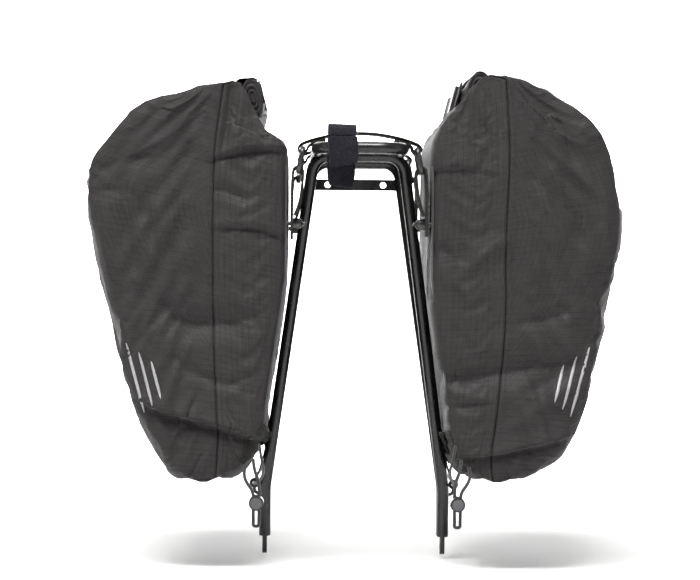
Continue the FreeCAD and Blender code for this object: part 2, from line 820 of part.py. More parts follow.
def closure_buckle():
    """The side-release buckle on the rack side of the roll, and the webbing on each half."""
    side = "-Sizes.roll_half_thickness - 0.3"
    middle = f"({side} - Sizes.buckle_thickness / 2)"
    half_high = "Sizes.buckle_height / 2"
    mouth_y = "-2"
    socket = box(
        "socket_block",
        (f"{side} - Sizes.buckle_thickness", f"{mouth_y} - Sizes.buckle_socket_length", f"-{half_high}"),
        (side, mouth_y, half_high),
    )
    cavity = box(
        "socket_cavity",
        (
            f"{middle} - Sizes.buckle_cavity_thickness / 2",
            f"{mouth_y} - Sizes.buckle_cavity_length",
            "-Sizes.buckle_cavity_height / 2",
        ),
        (
            f"{middle} + Sizes.buckle_cavity_thickness / 2",
            f"{mouth_y} + 1",
            "Sizes.buckle_cavity_height / 2",
        ),
    )
    pair(in_roll_frame(cut("buckle_socket_right", socket, cavity)), "buckle_socket")
    base_y = f"{mouth_y} + 0.5"
    base = box(
        "plug_base",
        (f"{side} - Sizes.buckle_thickness", base_y, f"-{half_high}"),
        (side, f"{base_y} + Sizes.buckle_base_length", half_high),
    )
    prong_low = f"{middle} - Sizes.buckle_cavity_thickness / 2 + Sizes.buckle_prong_gap"
    prong_high = f"{middle} + Sizes.buckle_cavity_thickness / 2 - Sizes.buckle_prong_gap"
    edge = "(Sizes.buckle_cavity_height / 2 - Sizes.buckle_prong_gap)"
    spans = {
        "low": (f"-{edge}", f"-{edge} + Sizes.buckle_prong_width"),
        "guide": ("-Sizes.buckle_prong_width / 2", "Sizes.buckle_prong_width / 2"),
        "high": (f"{edge} - Sizes.buckle_prong_width", edge),
    }
    prongs = [
        box(
            f"prong_{name}",
            (prong_low, f"{base_y} - Sizes.buckle_prong_length", low),
            (prong_high, f"{base_y} + 1", high),
        )
        for name, (low, high) in spans.items()
    ]
    pair(in_roll_frame(fuse("buckle_plug_right", base, *prongs)), "buckle_plug")
    web_low, web_high = f"-{size('closure_webbing_height') / 2}", f"{size('closure_webbing_height') / 2}"
    web_far = f"{side} - Sizes.strap_thickness"
    fixed = box(
        "socket_web",
        (web_far, "-Sizes.roll_half_length + 4", web_low),
        (side, f"{mouth_y} - Sizes.buckle_socket_length - 0.05", web_high),
    )
    loose = box(
        "plug_web",
        (web_far, f"{base_y} + Sizes.buckle_base_length + 0.05", web_low),
        (side, "Sizes.roll_half_length - 4", web_high),
    )
    pair(in_roll_frame(group("socket_webbing_right", fixed)), "socket_webbing")
    pair(in_roll_frame(group("plug_webbing_right", loose)), "plug_webbing")


# ---------------------------------------------------------------- under the bag


def corner_patches():
    """Webbing bands sewn across the low inner corner of both ends of the bag."""
    x, z = size("inner_face"), size("bag_bottom")
    corners = [(x + 17.5, z + 40), (x + 25.5, z + 46.5), (x + 46.5, z + 16), (x + 38.5, z + 8)]
    bands = [
        plate(
            f"{name}_patch",
            "XZ_Plane",
            start,
            "Sizes.patch_thickness",
            [(f"{a}", f"{b}") for a, b in reversed(corners)],
        )
        for name, start in (
            ("rear", "Sizes.bag_half_length + 0.2"),
            ("front", "-Sizes.bag_half_length - 0.2 - Sizes.patch_thickness"),
        )
    ]
    pair(group("corner_patches_right", *bands), "corner_patches")


def smooth_radii(points):
    """For each inner point, 0.45 of the shorter run over the tangent of half the turn."""
    points = [Vector(*p) for p in points]
    radii = [0.0]
    for index in range(1, len(points) - 1):
        back, ahead = points[index - 1] - points[index], points[index + 1] - points[index]
        half_turn = (math.pi - back.getAngle(ahead)) / 2
        radii.append(0.45 * min(back.Length, ahead.Length) / math.tan(half_turn))
    return radii + [0.0]


def pull_cord():
    """The cord whose loop hangs through the cord lock below the rear corner of the bag."""
    y = -size("cord_plane")
    route = [
        (93.4, y, 78.0),
        (95.0, y, 71.0),
        (92.2, y, 63.5),
        (86.5, y, 56.5),
        (86.4, y, 44.0),
        (86.5, y, 37.0),
        (86.3, y, 31.5),
        (86.5, y, 27.5),
        (81.5, y, 27.5),
        (81.7, y, 31.5),
        (81.5, y, 37.0),
        (81.6, y, 44.0),
        (81.4, y, 57.0),
        (82.4, y, 66.0),
        (86.2, y, 75.0),
        (87.0, y, 84.0),
    ]
    radii = smooth_radii(route)
    print("pull cord radii:", [round(r, 1) for r in radii[1:-1]])
    path = rounded_path(route, radii)
    cord = rod("pull_cord_right", path, "Sizes.cord_radius")
    pair(cord, "pull_cord")
    return path.Length


def lower_bungee():
    """The elastic cord between the two corner patches that carries the hook."""
    near, z = size("cord_plane"), size("hook_eye_z")
    x = size("hook_x")
    half = [(x - 5.5, near, 96.0), (x - 7.3, near - 1, 84.0), (x - 10.0, near - 11, 73.0)]
    half += [(x - 6.5, near - 35, 63.5), (x - 0.9, near - 73, z + 3.0), (x, 14.0, z)]
    points = [(a, -b, c) for a, b, c in half] + list(reversed(half))
    path = rounded_path(points, smooth_radii(points))
    pair(rod("lower_bungee_right", path, "Sizes.bungee_radius"), "lower_bungee")


def lower_hook():
    """The wire hook whose tip passes through the hole in the foot plate."""
    x, z, low = size("hook_x"), size("hook_eye_z"), size("hook_height")
    eye = DOC.addObject("Part::Torus", "hook_eye")
    eye.Placement = Placement(Vector(x, 0, z), Rotation(Vector(0, 0, 1), Vector(0, 1, 0)))
    bind(eye, Radius1="Sizes.hook_eye_radius", Radius2="Sizes.hook_wire")
    points = [(x, 0, z - size("hook_eye_radius")), (x, 0, low), (size("hook_tip_x"), 0, low)]
    shank = rod("hook_shank", rounded_path(points, [0, size("hook_bend"), 0]), "Sizes.hook_wire")
    pair(fuse("lower_hook_right", eye, shank), "lower_hook")


def hook_tab():
    """The tapered webbing tab whose split hem holds the elastic cord beside the hook's eye."""
    half, x, z = size("tab_half_width"), size("hook_x"), size("hook_eye_z")
    line = [(75.8, 100), (78.3, 84), (79.3, 76), (82.2, 66), (x - 1.9, z + 2.2)]
    strip = feature("tab_strip", ribbon(line, 1.4, -half, half))
    at = ("Sizes.hook_x", "-Sizes.tab_half_width", "Sizes.hook_eye_z")
    hem = cylinder("tab_hem", "Sizes.bungee_radius + 1.5", "2 * Sizes.tab_half_width", at, (0, 1, 0))
    bore = bar_hole("tab_bore", at[0], at[2], "Sizes.bungee_radius + 0.3", "0", "Sizes.tab_half_width")
    gap = box(
        "tab_gap",
        ("Sizes.hook_x - 8", "-Sizes.hook_wire - 0.6", "Sizes.hook_eye_z - 8"),
        ("Sizes.hook_x + 8", "Sizes.hook_wire + 0.6", "Sizes.hook_eye_z + 7"),
    )
    joined = fuse("tab_joined", strip, hem)
    pair(cut("hook_tab_right", joined, group("tab_tools", bore, gap)), "hook_tab")


def cord_lock():
    """A barrel cord lock with its sprung button, along Y, with two cord holes along Z."""
    x, z = "Sizes.lock_x", "Sizes.lock_z"
    barrel = cylinder(
        "lock_barrel",
        "Sizes.lock_radius",
        "Sizes.lock_near - Sizes.lock_far",
        (x, "-Sizes.lock_near", z),
        (0, 1, 0),
    )
    bore = cylinder(
        "lock_bore",
        "Sizes.lock_bore_radius",
        "Sizes.lock_near - Sizes.lock_bore_far + 1",
        (x, "-Sizes.lock_near - 1", z),
        (0, 1, 0),
    )
    holes, slots = [bore], []
    for side in (-1, 1):
        across = f"{x} + {side} * Sizes.lock_hole_offset"
        low = (across, "-Sizes.cord_plane", f"{z} - 10")
        tag = "left" if side < 0 else "right"
        holes.append(cylinder(f"lock_hole_{tag}", "Sizes.lock_hole_radius", "20", low, (0, 0, 1)))
        slots.append(
            box(
                f"button_slot_{tag}",
                (
                    f"{across} - Sizes.lock_hole_radius",
                    "-Sizes.cord_plane - Sizes.lock_hole_radius - Sizes.button_travel - 0.4",
                    f"{z} - 10",
                ),
                (
                    f"{across} + Sizes.lock_hole_radius",
                    "-Sizes.cord_plane + Sizes.lock_hole_radius",
                    f"{z} + 10",
                ),
            )
        )
    pair(cut("cord_lock_body_right", barrel, group("lock_tools", *holes)), "cord_lock_body")
    plunger = cylinder(
        "button_plunger",
        "Sizes.button_radius",
        "Sizes.button_near - Sizes.button_far",
        (x, "-Sizes.button_near", z),
        (0, 1, 0),
    )
    pair(cut("cord_lock_button_right", plunger, group("button_slots", *slots)), "cord_lock_button")
    pair(lock_spring(), "cord_lock_spring")


def lock_spring():
    """The small coil spring behind the button."""
    wire, radius = size("spring_wire"), size("spring_radius")
    start = -size("button_far") + wire + 0.1
    length = size("button_far") - size("lock_bore_far") - 2 * wire - 0.2
    steps, steps_per_turn = 32, 16
    points = []
    for step in range(steps + 1):
        angle = 2 * math.pi * step / steps_per_turn
        points.append(Vector(radius * math.cos(angle), radius * math.sin(angle), length * step / steps))
    helix = Part.BSplineCurve()
    helix.interpolate(points)
    section = Part.Wire(Part.Circle(Vector(radius, 0, 0), Vector(0, 1, 0), wire).toShape())
    coil = Part.Wire(helix.toShape()).makePipeShell([section], True, False)
    made = feature("cord_lock_spring_right", coil)
    turn = Rotation(Vector(0, 0, 1), Vector(0, 1, 0))
    made.Placement = Placement(Vector(size("lock_x"), start, size("lock_z")), turn)
    return made


def reflective_mark():
    """Three plain slanted reflective bars on the rear end of the bag."""
    half, thick = size("bag_half_length"), size("mark_thickness")
    bars = []
    for index, length in enumerate((56.0, 40.0, 24.0)):
        low = Vector(176 - 6.5 * index, -half - 0.3 - thick, 120 + 5 * index)
        rise = Vector(0.27 * length, 0, 0.96 * length)
        across = Vector(3.6, 0, -1.0)
        corners = [low, low + across, low + across + rise, low + rise]
        bars.append(Part.Face(Part.makePolygon(corners + corners[:1])).extrude(Vector(0, thick, 0)))
    pair(feature("reflective_mark_right", Part.makeCompound(bars)), "reflective_mark")


# ---------------------------------------------------------------- document


def check_document():
    """Stops if any object failed to compute, or a sub-part's shape isn't a valid solid."""
    for thing in DOC.Objects:
        bad = [state for state in thing.State if state in ("Invalid", "Error")]
        if bad:
            raise RuntimeError(f"{thing.Label} is {bad}")
    for label, thing in SUBPARTS.items():
        shape = thing.Shape
        if shape.isNull() or not shape.isValid() or not shape.Solids:
            raise RuntimeError(f"{label} has no valid solid")


def main():
    fill_sheet()
    rack()
    bridge_straps()
    anchor_strap()
    bag_panels()
    back_stiffener()
    strap_rings()
    hanger_webbing()
    hanger_bolts()
    roll_closure()
    mouth_collar()
    closure_buckle()
    corner_patches()
    length = pull_cord()
    lower_bungee()
    lower_hook()
    hook_tab()
    cord_lock()
    reflective_mark()
    DOC.recompute()
    check_document()
    cord = SUBPARTS["pull_cord_right"].Shape
    section = math.pi * size("cord_radius") ** 2
    print(f"pull cord: {length:.1f} mm, volume ratio {cord.Volume / (section * length):.4f}")
    os.makedirs("parts", exist_ok=True)
    for label, thing in SUBPARTS.items():
        thing.Shape.exportStep(f"parts/{label}.step")
    print(len(SUBPARTS), "sub-parts written")


main()
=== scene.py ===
"""Visual model of a pair of roll-top saddlebags on a carrier rack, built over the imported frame.

Lengths are in metres. Shapes of the bags are given in millimetres, outboard from the middle of
the rack, and are turned to the left or right bag by a sign.
"""

import json
import math

import bpy
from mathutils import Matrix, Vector, noise


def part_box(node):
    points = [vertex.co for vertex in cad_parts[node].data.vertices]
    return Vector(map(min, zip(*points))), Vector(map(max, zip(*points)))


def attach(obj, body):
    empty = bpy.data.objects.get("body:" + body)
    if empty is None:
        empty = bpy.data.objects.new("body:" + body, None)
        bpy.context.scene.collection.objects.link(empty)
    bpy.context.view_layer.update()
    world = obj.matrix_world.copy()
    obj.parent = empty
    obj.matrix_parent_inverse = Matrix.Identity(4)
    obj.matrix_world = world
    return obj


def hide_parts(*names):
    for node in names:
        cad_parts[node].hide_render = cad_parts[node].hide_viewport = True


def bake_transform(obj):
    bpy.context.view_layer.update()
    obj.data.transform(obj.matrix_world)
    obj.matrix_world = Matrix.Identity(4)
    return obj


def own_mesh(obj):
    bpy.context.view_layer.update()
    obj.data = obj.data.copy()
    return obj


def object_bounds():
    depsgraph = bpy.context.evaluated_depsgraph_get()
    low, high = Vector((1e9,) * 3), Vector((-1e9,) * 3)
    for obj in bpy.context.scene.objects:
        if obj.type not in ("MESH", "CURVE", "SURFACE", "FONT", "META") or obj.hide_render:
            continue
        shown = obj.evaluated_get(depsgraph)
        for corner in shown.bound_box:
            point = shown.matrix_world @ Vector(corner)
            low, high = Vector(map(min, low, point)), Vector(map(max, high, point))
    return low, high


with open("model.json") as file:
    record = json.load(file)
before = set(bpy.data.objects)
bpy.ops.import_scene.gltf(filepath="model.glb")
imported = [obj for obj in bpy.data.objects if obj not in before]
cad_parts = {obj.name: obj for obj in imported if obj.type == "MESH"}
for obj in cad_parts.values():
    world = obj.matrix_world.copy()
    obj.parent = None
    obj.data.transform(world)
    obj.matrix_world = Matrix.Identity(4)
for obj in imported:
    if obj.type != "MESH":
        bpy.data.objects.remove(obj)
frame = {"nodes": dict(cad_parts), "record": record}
CAD_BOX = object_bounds()
NODES = frame["nodes"]
MM = 0.001
SIDES = {"left": -1, "right": 1}

BAG_HALF = 131.0
RINGS = 200
FACE_COLUMNS = 29
SIDE_COLUMNS = 44
SEAM_OFFSETS = (4.0, 1.4, 0.45, 0.0, -0.45, -1.4, -4.0)
SEAM_DEPTHS = (0.25, 0.8, -0.7, -2.4, -0.7, 0.8, 0.25)
END_COLUMNS = 2 * FACE_COLUMNS + len(SEAM_OFFSETS)
COLUMNS = 2 * (END_COLUMNS + SIDE_COLUMNS)
REAR_SEAM = FACE_COLUMNS + len(SEAM_OFFSETS) // 2
FRONT_SEAM = 2 * END_COLUMNS + SIDE_COLUMNS - 1 - REAR_SEAM
FABRIC_PITCH = 0.005
NARROW = 14.0
ENDS = (("rear", -1), ("front", 1))
ALONG = Vector((0, 1, 0))
HANGER_Y = 110.0
CORD_Y = -133.6
WIDE_WEBBING, CLOSURE_WEBBING, TAB_WEBBING = 30.0, 20.0, 16.0
CLOTH_FRAMES = 12
MOST_SAG = 5.0

# The flat middle of both rolls: its place, its tilt, and where along the bag it turns full.
ROLL_MIDDLE = (93, 389.5)
ROLL_TILT = 14
ROLL_SWELL = (34, 92)
ROLL_END = 122

# What the back of a bag stays clear of: the leaning legs outside it and the bent sheet inside it.
LEG_FOOT, LEG_SLOPE, LEG_GAP = (78, 52), 0.139, 5.6
BACK_FACE = 58.9
SHEET_FACE, SHEET_BEND, SHEET_SLOPE, SHEET_TOP = 60.2, 235, 0.144, 334

# Each bag's end seam, outlines and roll, as (outboard, height) points from the bottom upwards.
BAGS = {
    "left": {
        "inner": [
            (128, 62), (96, 72), (87, 83), (75, 132), (62, 208), (59, 240), (59, 334), (61, 347),
            (72, 353), (78, 358), (100, 398), (103, 401),
        ],
        "outer": [
            (128, 62), (143, 65), (158, 72), (166, 83), (188, 123), (201, 164), (211, 205), (226, 267),
            (233, 313), (229, 334), (212, 361), (192, 384), (163, 392), (127, 397), (103, 401),
        ],
        "seam": [(119, 60), (116, 106), (118, 122), (122, 218), (122, 343), (118, 372), (115, 398)],
        "roll": ((90.5, 386.0), 8.0),
        "patch": ((75, 107), (101, 84)),
    },
    "right": {
        "inner": [
            (117, 64), (88, 71), (79, 86), (70, 138), (62, 190), (59, 218), (59, 336), (61, 358),
            (77, 378), (97, 401), (104, 407),
        ],
        "outer": [
            (117, 64), (132, 66), (152, 75), (173, 86), (182, 99), (194, 127), (204, 168), (213, 209),
            (225, 290), (219, 322), (210, 354), (205, 366), (180, 386), (154, 402), (128, 406),
            (104, 408),
        ],
        "seam": [(115, 60), (111, 86), (116, 112), (124, 200), (122, 266), (126, 340), (122, 408)],
        "roll": ((97.5, 393.5), 18.0),
        "patch": ((75, 107), (93, 74)),
    },
}

# Creases over the rear end of each bag: (kind, half width, depth, points). The front end has the other
# bag's. A lap hangs over what is below it, a valley is a dent with a sharp floor, a ridge stands out.
FOLDS = {
    "left": [
        ("lap", 13, 8.0, [(179, 129), (171, 124), (146, 117), (120, 111), (100, 105), (80, 99)]),
        ("ridge", 5, 2.4, [(190, 150), (184, 139), (171, 119), (147, 92)]),
        ("ridge", 4, 1.8, [(189, 132), (178, 115), (169, 101), (160, 90)]),
        ("valley", 13, 7.5, [
            (163, 212), (155, 202), (146, 196), (134, 195), (122, 197), (106, 196), (86, 204),
        ]),
        ("valley", 6, 3.2, [(121, 151), (111, 144), (98, 149), (84, 156)]),
        ("valley", 6, 2.8, [(154, 168), (145, 161), (134, 154), (121, 150)]),
        ("ridge", 9, 3.4, [(142, 262), (143, 250), (148, 229), (154, 206)]),
        ("lap", 10, 5.5, [(122, 334), (110, 338), (98, 342), (82, 344), (64, 342)]),
        ("valley", 6, 3.4, [(122, 308), (112, 309), (103, 303), (94, 300)]),
        ("lap", 9, 4.4, [(118, 277), (96, 278), (79, 276), (64, 270)]),
        ("valley", 7, 5.0, [(109, 397), (110, 371), (113, 349), (117, 336)]),
        ("ridge", 6, 2.2, [(100, 388), (101, 366), (107, 348)]),
        ("ridge", 4, 1.8, [(115, 262), (115, 246), (112, 216)]),
        ("ridge", 5, 3.0, [(230, 316), (226, 326), (213, 345), (190, 367), (161, 389)]),
        ("valley", 10, 4.0, [(226, 316), (212, 327), (194, 334), (176, 336)]),
        ("valley", 11, 3.0, [(203, 316), (199, 290), (193, 262), (186, 236)]),
        ("valley", 8, 3.0, [(182, 296), (174, 272), (163, 254)]),
        ("valley", 12, 3.6, [(98, 262), (92, 240), (96, 214)]),
        ("ridge", 9, 2.8, [(216, 290), (211, 250), (202, 206), (190, 168)]),
    ],
    "right": [
        ("valley", 15, 8.5, [
            (66, 146), (73, 149), (98, 153), (119, 158), (148, 162), (172, 164), (186, 168),
        ]),
        ("ridge", 6, 3.4, [(68, 146), (75, 144), (93, 137), (110, 133)]),
        ("valley", 6, 3.8, [(66, 124), (80, 128), (96, 130), (110, 131)]),
        ("lap", 9, 5.0, [(86, 84), (93, 86), (115, 88), (141, 94), (168, 100), (180, 104)]),
        ("valley", 8, 4.4, [(140, 324), (148, 318), (160, 310), (172, 296), (181, 281), (186, 268)]),
        ("valley", 7, 4.0, [(168, 326), (176, 318), (188, 307), (199, 295), (203, 282)]),
        ("ridge", 8, 2.8, [(160, 326), (170, 314), (182, 298), (192, 280)]),
        ("valley", 13, 4.4, [(154, 388), (164, 368), (172, 352), (180, 332)]),
        ("lap", 9, 2.8, [(60, 325), (74, 329), (92, 328), (110, 324)]),
        ("ridge", 9, 3.4, [(96, 248), (102, 254), (111, 262), (121, 269)]),
        ("valley", 11, 4.2, [(64, 262), (76, 256), (88, 250)]),
        ("valley", 6, 2.8, [(134, 199), (150, 201), (164, 205), (176, 210)]),
        ("ridge", 5, 2.8, [(176, 383), (187, 375), (201, 354), (211, 338), (216, 318)]),
        ("valley", 9, 3.4, [(146, 142), (164, 152), (182, 166)]),
        ("ridge", 10, 3.0, [(134, 116), (154, 128), (176, 146)]),
        ("valley", 12, 3.4, [(104, 366), (108, 348), (104, 326)]),
        ("valley", 10, 3.0, [(208, 270), (204, 236), (198, 204), (190, 178)]),
        ("ridge", 5, 2.0, [(92, 394), (104, 372), (112, 352)]),
    ],
}


# ---- node helpers


class Shader:
    """A material under construction, with short calls for its nodes."""

    def __init__(self, name, color, roughness, metallic=0.0, **inputs):
        self.material = bpy.data.materials.new(name)
        self.material.use_nodes = True
        self.tree = self.material.node_tree
        self.surface = self.tree.nodes["Principled BSDF"]
        self.surface.inputs["Base Color"].default_value = (*color, 1)
        self.surface.inputs["Roughness"].default_value = roughness
        self.surface.inputs["Metallic"].default_value = metallic
        for label, value in inputs.items():
            self.surface.inputs[label.replace("_", " ")].default_value = value

    def node(self, kind, links=None, **settings):
        made = self.tree.nodes.new(kind)
        for key, value in settings.items():
            setattr(made, key, value)
        for label, source in (links or {}).items():
            socket = made.inputs[label]
            if isinstance(source, bpy.types.NodeSocket):
                self.tree.links.new(source, socket)
            else:
                socket.default_value = source
        return made

    def math(self, operation, a, b=0.0, clamp=False):
        made = self.node("ShaderNodeMath", {0: a, 1: b}, operation=operation, use_clamp=clamp)
        return made.outputs[0]

    def place(self, attribute=None):
        if attribute:
            return self.node("ShaderNodeAttribute", attribute_name=attribute).outputs["Vector"]
        return self.node("ShaderNodeTexCoord").outputs["Object"]

    def noise(self, place, scale, detail, stretch=None):
        if stretch:
            place = self.node("ShaderNodeMapping", {"Vector": place, "Scale": stretch}).outputs[0]
        links = {"Vector": place, "Scale": scale, "Detail": detail}
        return self.node("ShaderNodeTexNoise", links).outputs["Fac"]

    def split(self, place):
        return self.node("ShaderNodeSeparateXYZ", {0: place}).outputs

    def line(self, along, pitch, width):
        """1 on thin lines a pitch apart, falling to 0 over their width."""
        near = self.math("PINGPONG", along, pitch / 2)
        return self.math("SUBTRACT", 1.0, self.math("DIVIDE", near, width), clamp=True)

    def wave(self, along, pitch):
        return self.math("SINE", self.math("MULTIPLY", along, 2 * math.pi / pitch))

    def between(self, amount, low, high):
        links = {"Value": amount, "To Min": low, "To Max": high}
        return self.node("ShaderNodeMapRange", links).outputs[0]

    def color(self, amount, low, high):
        links = {"Factor": amount, "A": (*low, 1), "B": (*high, 1)}
        made = self.node("ShaderNodeMix", data_type="RGBA")
        for socket in made.inputs:
            if socket.type == "RGBA" and socket.name in links:
                socket.default_value = links[socket.name]
        self.tree.links.new(amount, made.inputs["Factor"])
        shade = next(s for s in made.outputs if s.type == "RGBA")
        self.tree.links.new(shade, self.surface.inputs["Base Color"])

    def roughness(self, amount):
        self.tree.links.new(amount, self.surface.inputs["Roughness"])

    def bump(self, height, distance):
        made = self.node("ShaderNodeBump", {"Height": height, "Distance": distance, "Strength": 1.0})
        self.tree.links.new(made.outputs[0], self.surface.inputs["Normal"])


def ripstop():
    """Coated ripstop: a fine uneven weave with thicker yarns in a 5 mm grid."""
    made = Shader(
        "ripstop_fabric", (0.018, 0.017, 0.017), 0.52, Sheen_Weight=0.05, Specular_IOR_Level=0.17,
    )
    place = made.place("cloth")
    u, v, _ = made.split(place)
    across = made.line(u, FABRIC_PITCH, 0.00042)
    up = made.line(v, FABRIC_PITCH, 0.00042)
    grid = made.math("MAXIMUM", across, up)
    broken = made.noise(place, 260.0, 2.0)
    grid = made.math("MULTIPLY", grid, made.between(broken, 0.1, 1.5), clamp=True)
    warp = made.noise(place, 1.0, 3.0, (900.0, 34.0, 1.0))
    weft = made.noise(place, 1.0, 3.0, (34.0, 900.0, 1.0))
    streaks = made.math("ADD", warp, weft)
    weave = made.math("MULTIPLY", made.wave(u, 0.0007), made.wave(v, 0.0007))
    cloudy = made.noise(place, 14.0, 4.0)
    shade = made.math("ADD", made.between(streaks, -0.35, 0.85), made.between(cloudy, -0.2, 0.25))
    shade = made.math("SUBTRACT", shade, made.math("MULTIPLY", grid, 0.42), clamp=True)
    made.color(shade, (0.0035, 0.0031, 0.0034), (0.032, 0.0285, 0.0285))
    made.roughness(made.between(made.math("ADD", streaks, cloudy), 0.4, 0.56))
    height = made.math("ADD", made.math("MULTIPLY", weave, 0.12), made.math("MULTIPLY", streaks, 0.35))
    made.bump(made.math("ADD", height, made.math("MULTIPLY", grid, 0.8)), 0.00022)
    return made.material


def webbing():
    """Ribbed woven strap, a little worn."""
    made = Shader("webbing", (0.024, 0.023, 0.02), 0.72, Sheen_Weight=0.05, Specular_IOR_Level=0.2)
    place = made.place("cloth")
    x, y, _ = made.split(place)
    rib = made.wave(y, 0.0017)
    weft = made.wave(x, 0.0014)
    weave = made.math("MULTIPLY", rib, weft)
    worn = made.noise(place, 120.0, 4.0)
    made.color(
        made.math("ADD", made.between(weave, 0.25, 0.55), made.between(worn, -0.3, 0.4), clamp=True),
        (0.005, 0.005, 0.0045), (0.034, 0.032, 0.027),
    )
    made.roughness(made.between(worn, 0.6, 0.85))
    made.bump(made.math("ADD", weave, made.math("MULTIPLY", rib, 0.6)), 0.0002)
    return made.material


def hook_and_loop():
    """Brushed loop pile: soft, uneven, with pale lint."""
    made = Shader(
        "hook_and_loop", (0.008, 0.008, 0.012), 0.95, Sheen_Weight=0.12, Specular_IOR_Level=0.1,
    )
    place = made.place()
    pile = made.noise(place, 1500.0, 4.0)
    tufts = made.noise(place, 420.0, 3.0)
    lint = made.math("POWER", made.noise(place, 620.0, 1.0), 7.0)
    fuzz = made.math("ADD", made.math("MULTIPLY", pile, 0.5), made.math("MULTIPLY", tufts, 0.35))
    made.color(
        made.math("ADD", fuzz, made.math("MULTIPLY", lint, 6.0), clamp=True),
        (0.002, 0.002, 0.0035), (0.018, 0.018, 0.026),
    )
    made.bump(made.math("ADD", pile, tufts), 0.0009)
    return made.material


def powder_coat():
    """Semi-gloss black powder coat with slight orange peel and scuffs."""
    made = Shader(
        "powder_coat", (0.012, 0.0115, 0.0115), 0.3,
        Coat_Weight=0.12, Coat_Roughness=0.14, Specular_IOR_Level=0.4,
    )
    place = made.place()
    peel = made.noise(place, 900.0, 2.0)
    scuffs = made.math("POWER", made.noise(place, 1.0, 5.0, (90.0, 90.0, 26.0)), 3.0)
    made.color(made.math("MULTIPLY", scuffs, 2.2, clamp=True), (0.003, 0.003, 0.003), (0.016, 0.015, 0.0145))
    made.roughness(made.between(scuffs, 0.24, 0.6))
    made.bump(peel, 0.00006)
    return made.material


def marked(name, color, roughness, grain, shades, gloss, depth, power=1.0, **inputs):
    """A plain surface whose shade, roughness and height all follow one noise."""
    made = Shader(name, color, roughness, **inputs)
    marks = made.noise(made.place(), *grain)
    made.color(made.math("POWER", marks, power) if power != 1.0 else marks, *shades)
    made.roughness(made.between(marks, *gloss))
    made.bump(marks, depth)
    return made.material


def moulded(name, dark, light, roughness):
    """Moulded plastic with a fine sparked texture and slight colour variation."""
    made = Shader(name, dark, roughness)
    place = made.place()
    spark = made.noise(place, 1800.0, 2.0)
    cloud = made.noise(place, 60.0, 3.0)
    made.color(cloud, dark, light)
    made.roughness(made.between(cloud, roughness - 0.08, roughness + 0.1))
    made.bump(spark, 0.00008)
    return made.material


def braid():
    """Braided cord: two crossing sets of yarns."""
    made = Shader("braided_cord", (0.012, 0.012, 0.012), 0.6, Sheen_Weight=0.2)
    place = made.place()
    x, y, z = made.split(place)
    around = made.math("ADD", x, y)
    one = made.wave(made.math("ADD", z, around), 0.0013)
    two = made.wave(made.math("SUBTRACT", z, around), 0.0013)
    yarns = made.math("MAXIMUM", one, two)
    made.color(made.between(yarns, 0.2, 0.8), (0.006, 0.006, 0.006), (0.03, 0.03, 0.031))
    made.bump(yarns, 0.00022)
    return made.material


MATERIALS = {
    "rack_coating": powder_coat(),
    "bag_fabric": ripstop(),
    "webbing": webbing(),
    "hook_and_loop": hook_and_loop(),
    "stiffener_sheet": moulded("stiffener_sheet", (0.05, 0.05, 0.053), (0.09, 0.09, 0.095), 0.5),
    "black_metal": marked(
        "black_metal", (0.014, 0.014, 0.014), 0.3, (260.0, 4.0),
        ((0.008, 0.008, 0.008), (0.09, 0.088, 0.085)), (0.2, 0.5), 0.00005,
        power=3.0, Coat_Weight=0.3, Coat_Roughness=0.15,
    ),
    "plain_steel": marked(
        "zinc_steel", (0.55, 0.55, 0.56), 0.32, (1.0, 4.0, (1400.0, 60.0, 60.0)),
        ((0.38, 0.38, 0.39), (0.68, 0.68, 0.69)), (0.25, 0.45), 0.00003, metallic=1.0,
    ),
    "reflective_film": marked(
        "reflective_print", (0.45, 0.45, 0.46), 0.42, (500.0, 5.0),
        ((0.22, 0.22, 0.23), (0.42, 0.42, 0.43)), (0.3, 0.55), 0.0001,
    ),
    "cord": braid(),
    "buckle_plastic": moulded("buckle_plastic", (0.012, 0.012, 0.012), (0.026, 0.026, 0.026), 0.42),
    "lock_plastic": moulded("lock_plastic", (0.012, 0.012, 0.013), (0.028, 0.028, 0.03), 0.34),
    "button_plastic": moulded("button_plastic", (0.05, 0.05, 0.053), (0.1, 0.1, 0.105), 0.36),
}
THREAD = moulded("stitch_thread", (0.004, 0.004, 0.004), (0.014, 0.014, 0.014), 0.7)


def dress_nodes():
    """Gives every carried-over CAD node the full material of its slot."""
    for part in frame["record"]["subparts"]:
        node = NODES[part["node"]]
        for place in node.material_slots:
            place.material = MATERIALS[part["material_slot"]]


# ---- mesh helpers


def add_object(name, data):
    made = bpy.data.objects.new(name, data)
    bpy.context.scene.collection.objects.link(made)
    return made


def grid_faces(rows, columns, start=0, flip=False):
    """Quads over a grid of points, its columns running fastest."""
    faces = []
    for row in range(rows - 1):
        for column in range(columns - 1):
            a = start + row * columns + column
            faces.append((a, a + 1, a + columns + 1, a + columns))
    return [face[::-1] for face in faces] if flip else faces


def tube_faces(rings, around, start=0, flip=False):
    """Quads round a tube of rings, each of this many points."""
    faces = []
    for row in range(rings - 1):
        for k in range(around):
            a, b = (start + row * around + i for i in (k, (k + 1) % around))
            faces.append((a, a + around, b + around, b) if flip else (a, b, b + around, a + around))
    return faces


def new_piece(name, body, slot, verts, faces, material=None):
    mesh = bpy.data.meshes.new(name)
    mesh.from_pydata([tuple(v) for v in verts], [], faces)
    mesh.validate()
    mesh.materials.append(material or MATERIALS[slot])
    piece = add_object(name, mesh)
    for face in mesh.polygons:
        face.use_smooth = True
    if body:
        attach(piece, body)
    return piece


def modifier(piece, kind, **settings):
    made = piece.modifiers.new(kind.lower(), kind)
    for key, value in settings.items():
        setattr(made, key, value)
    return made


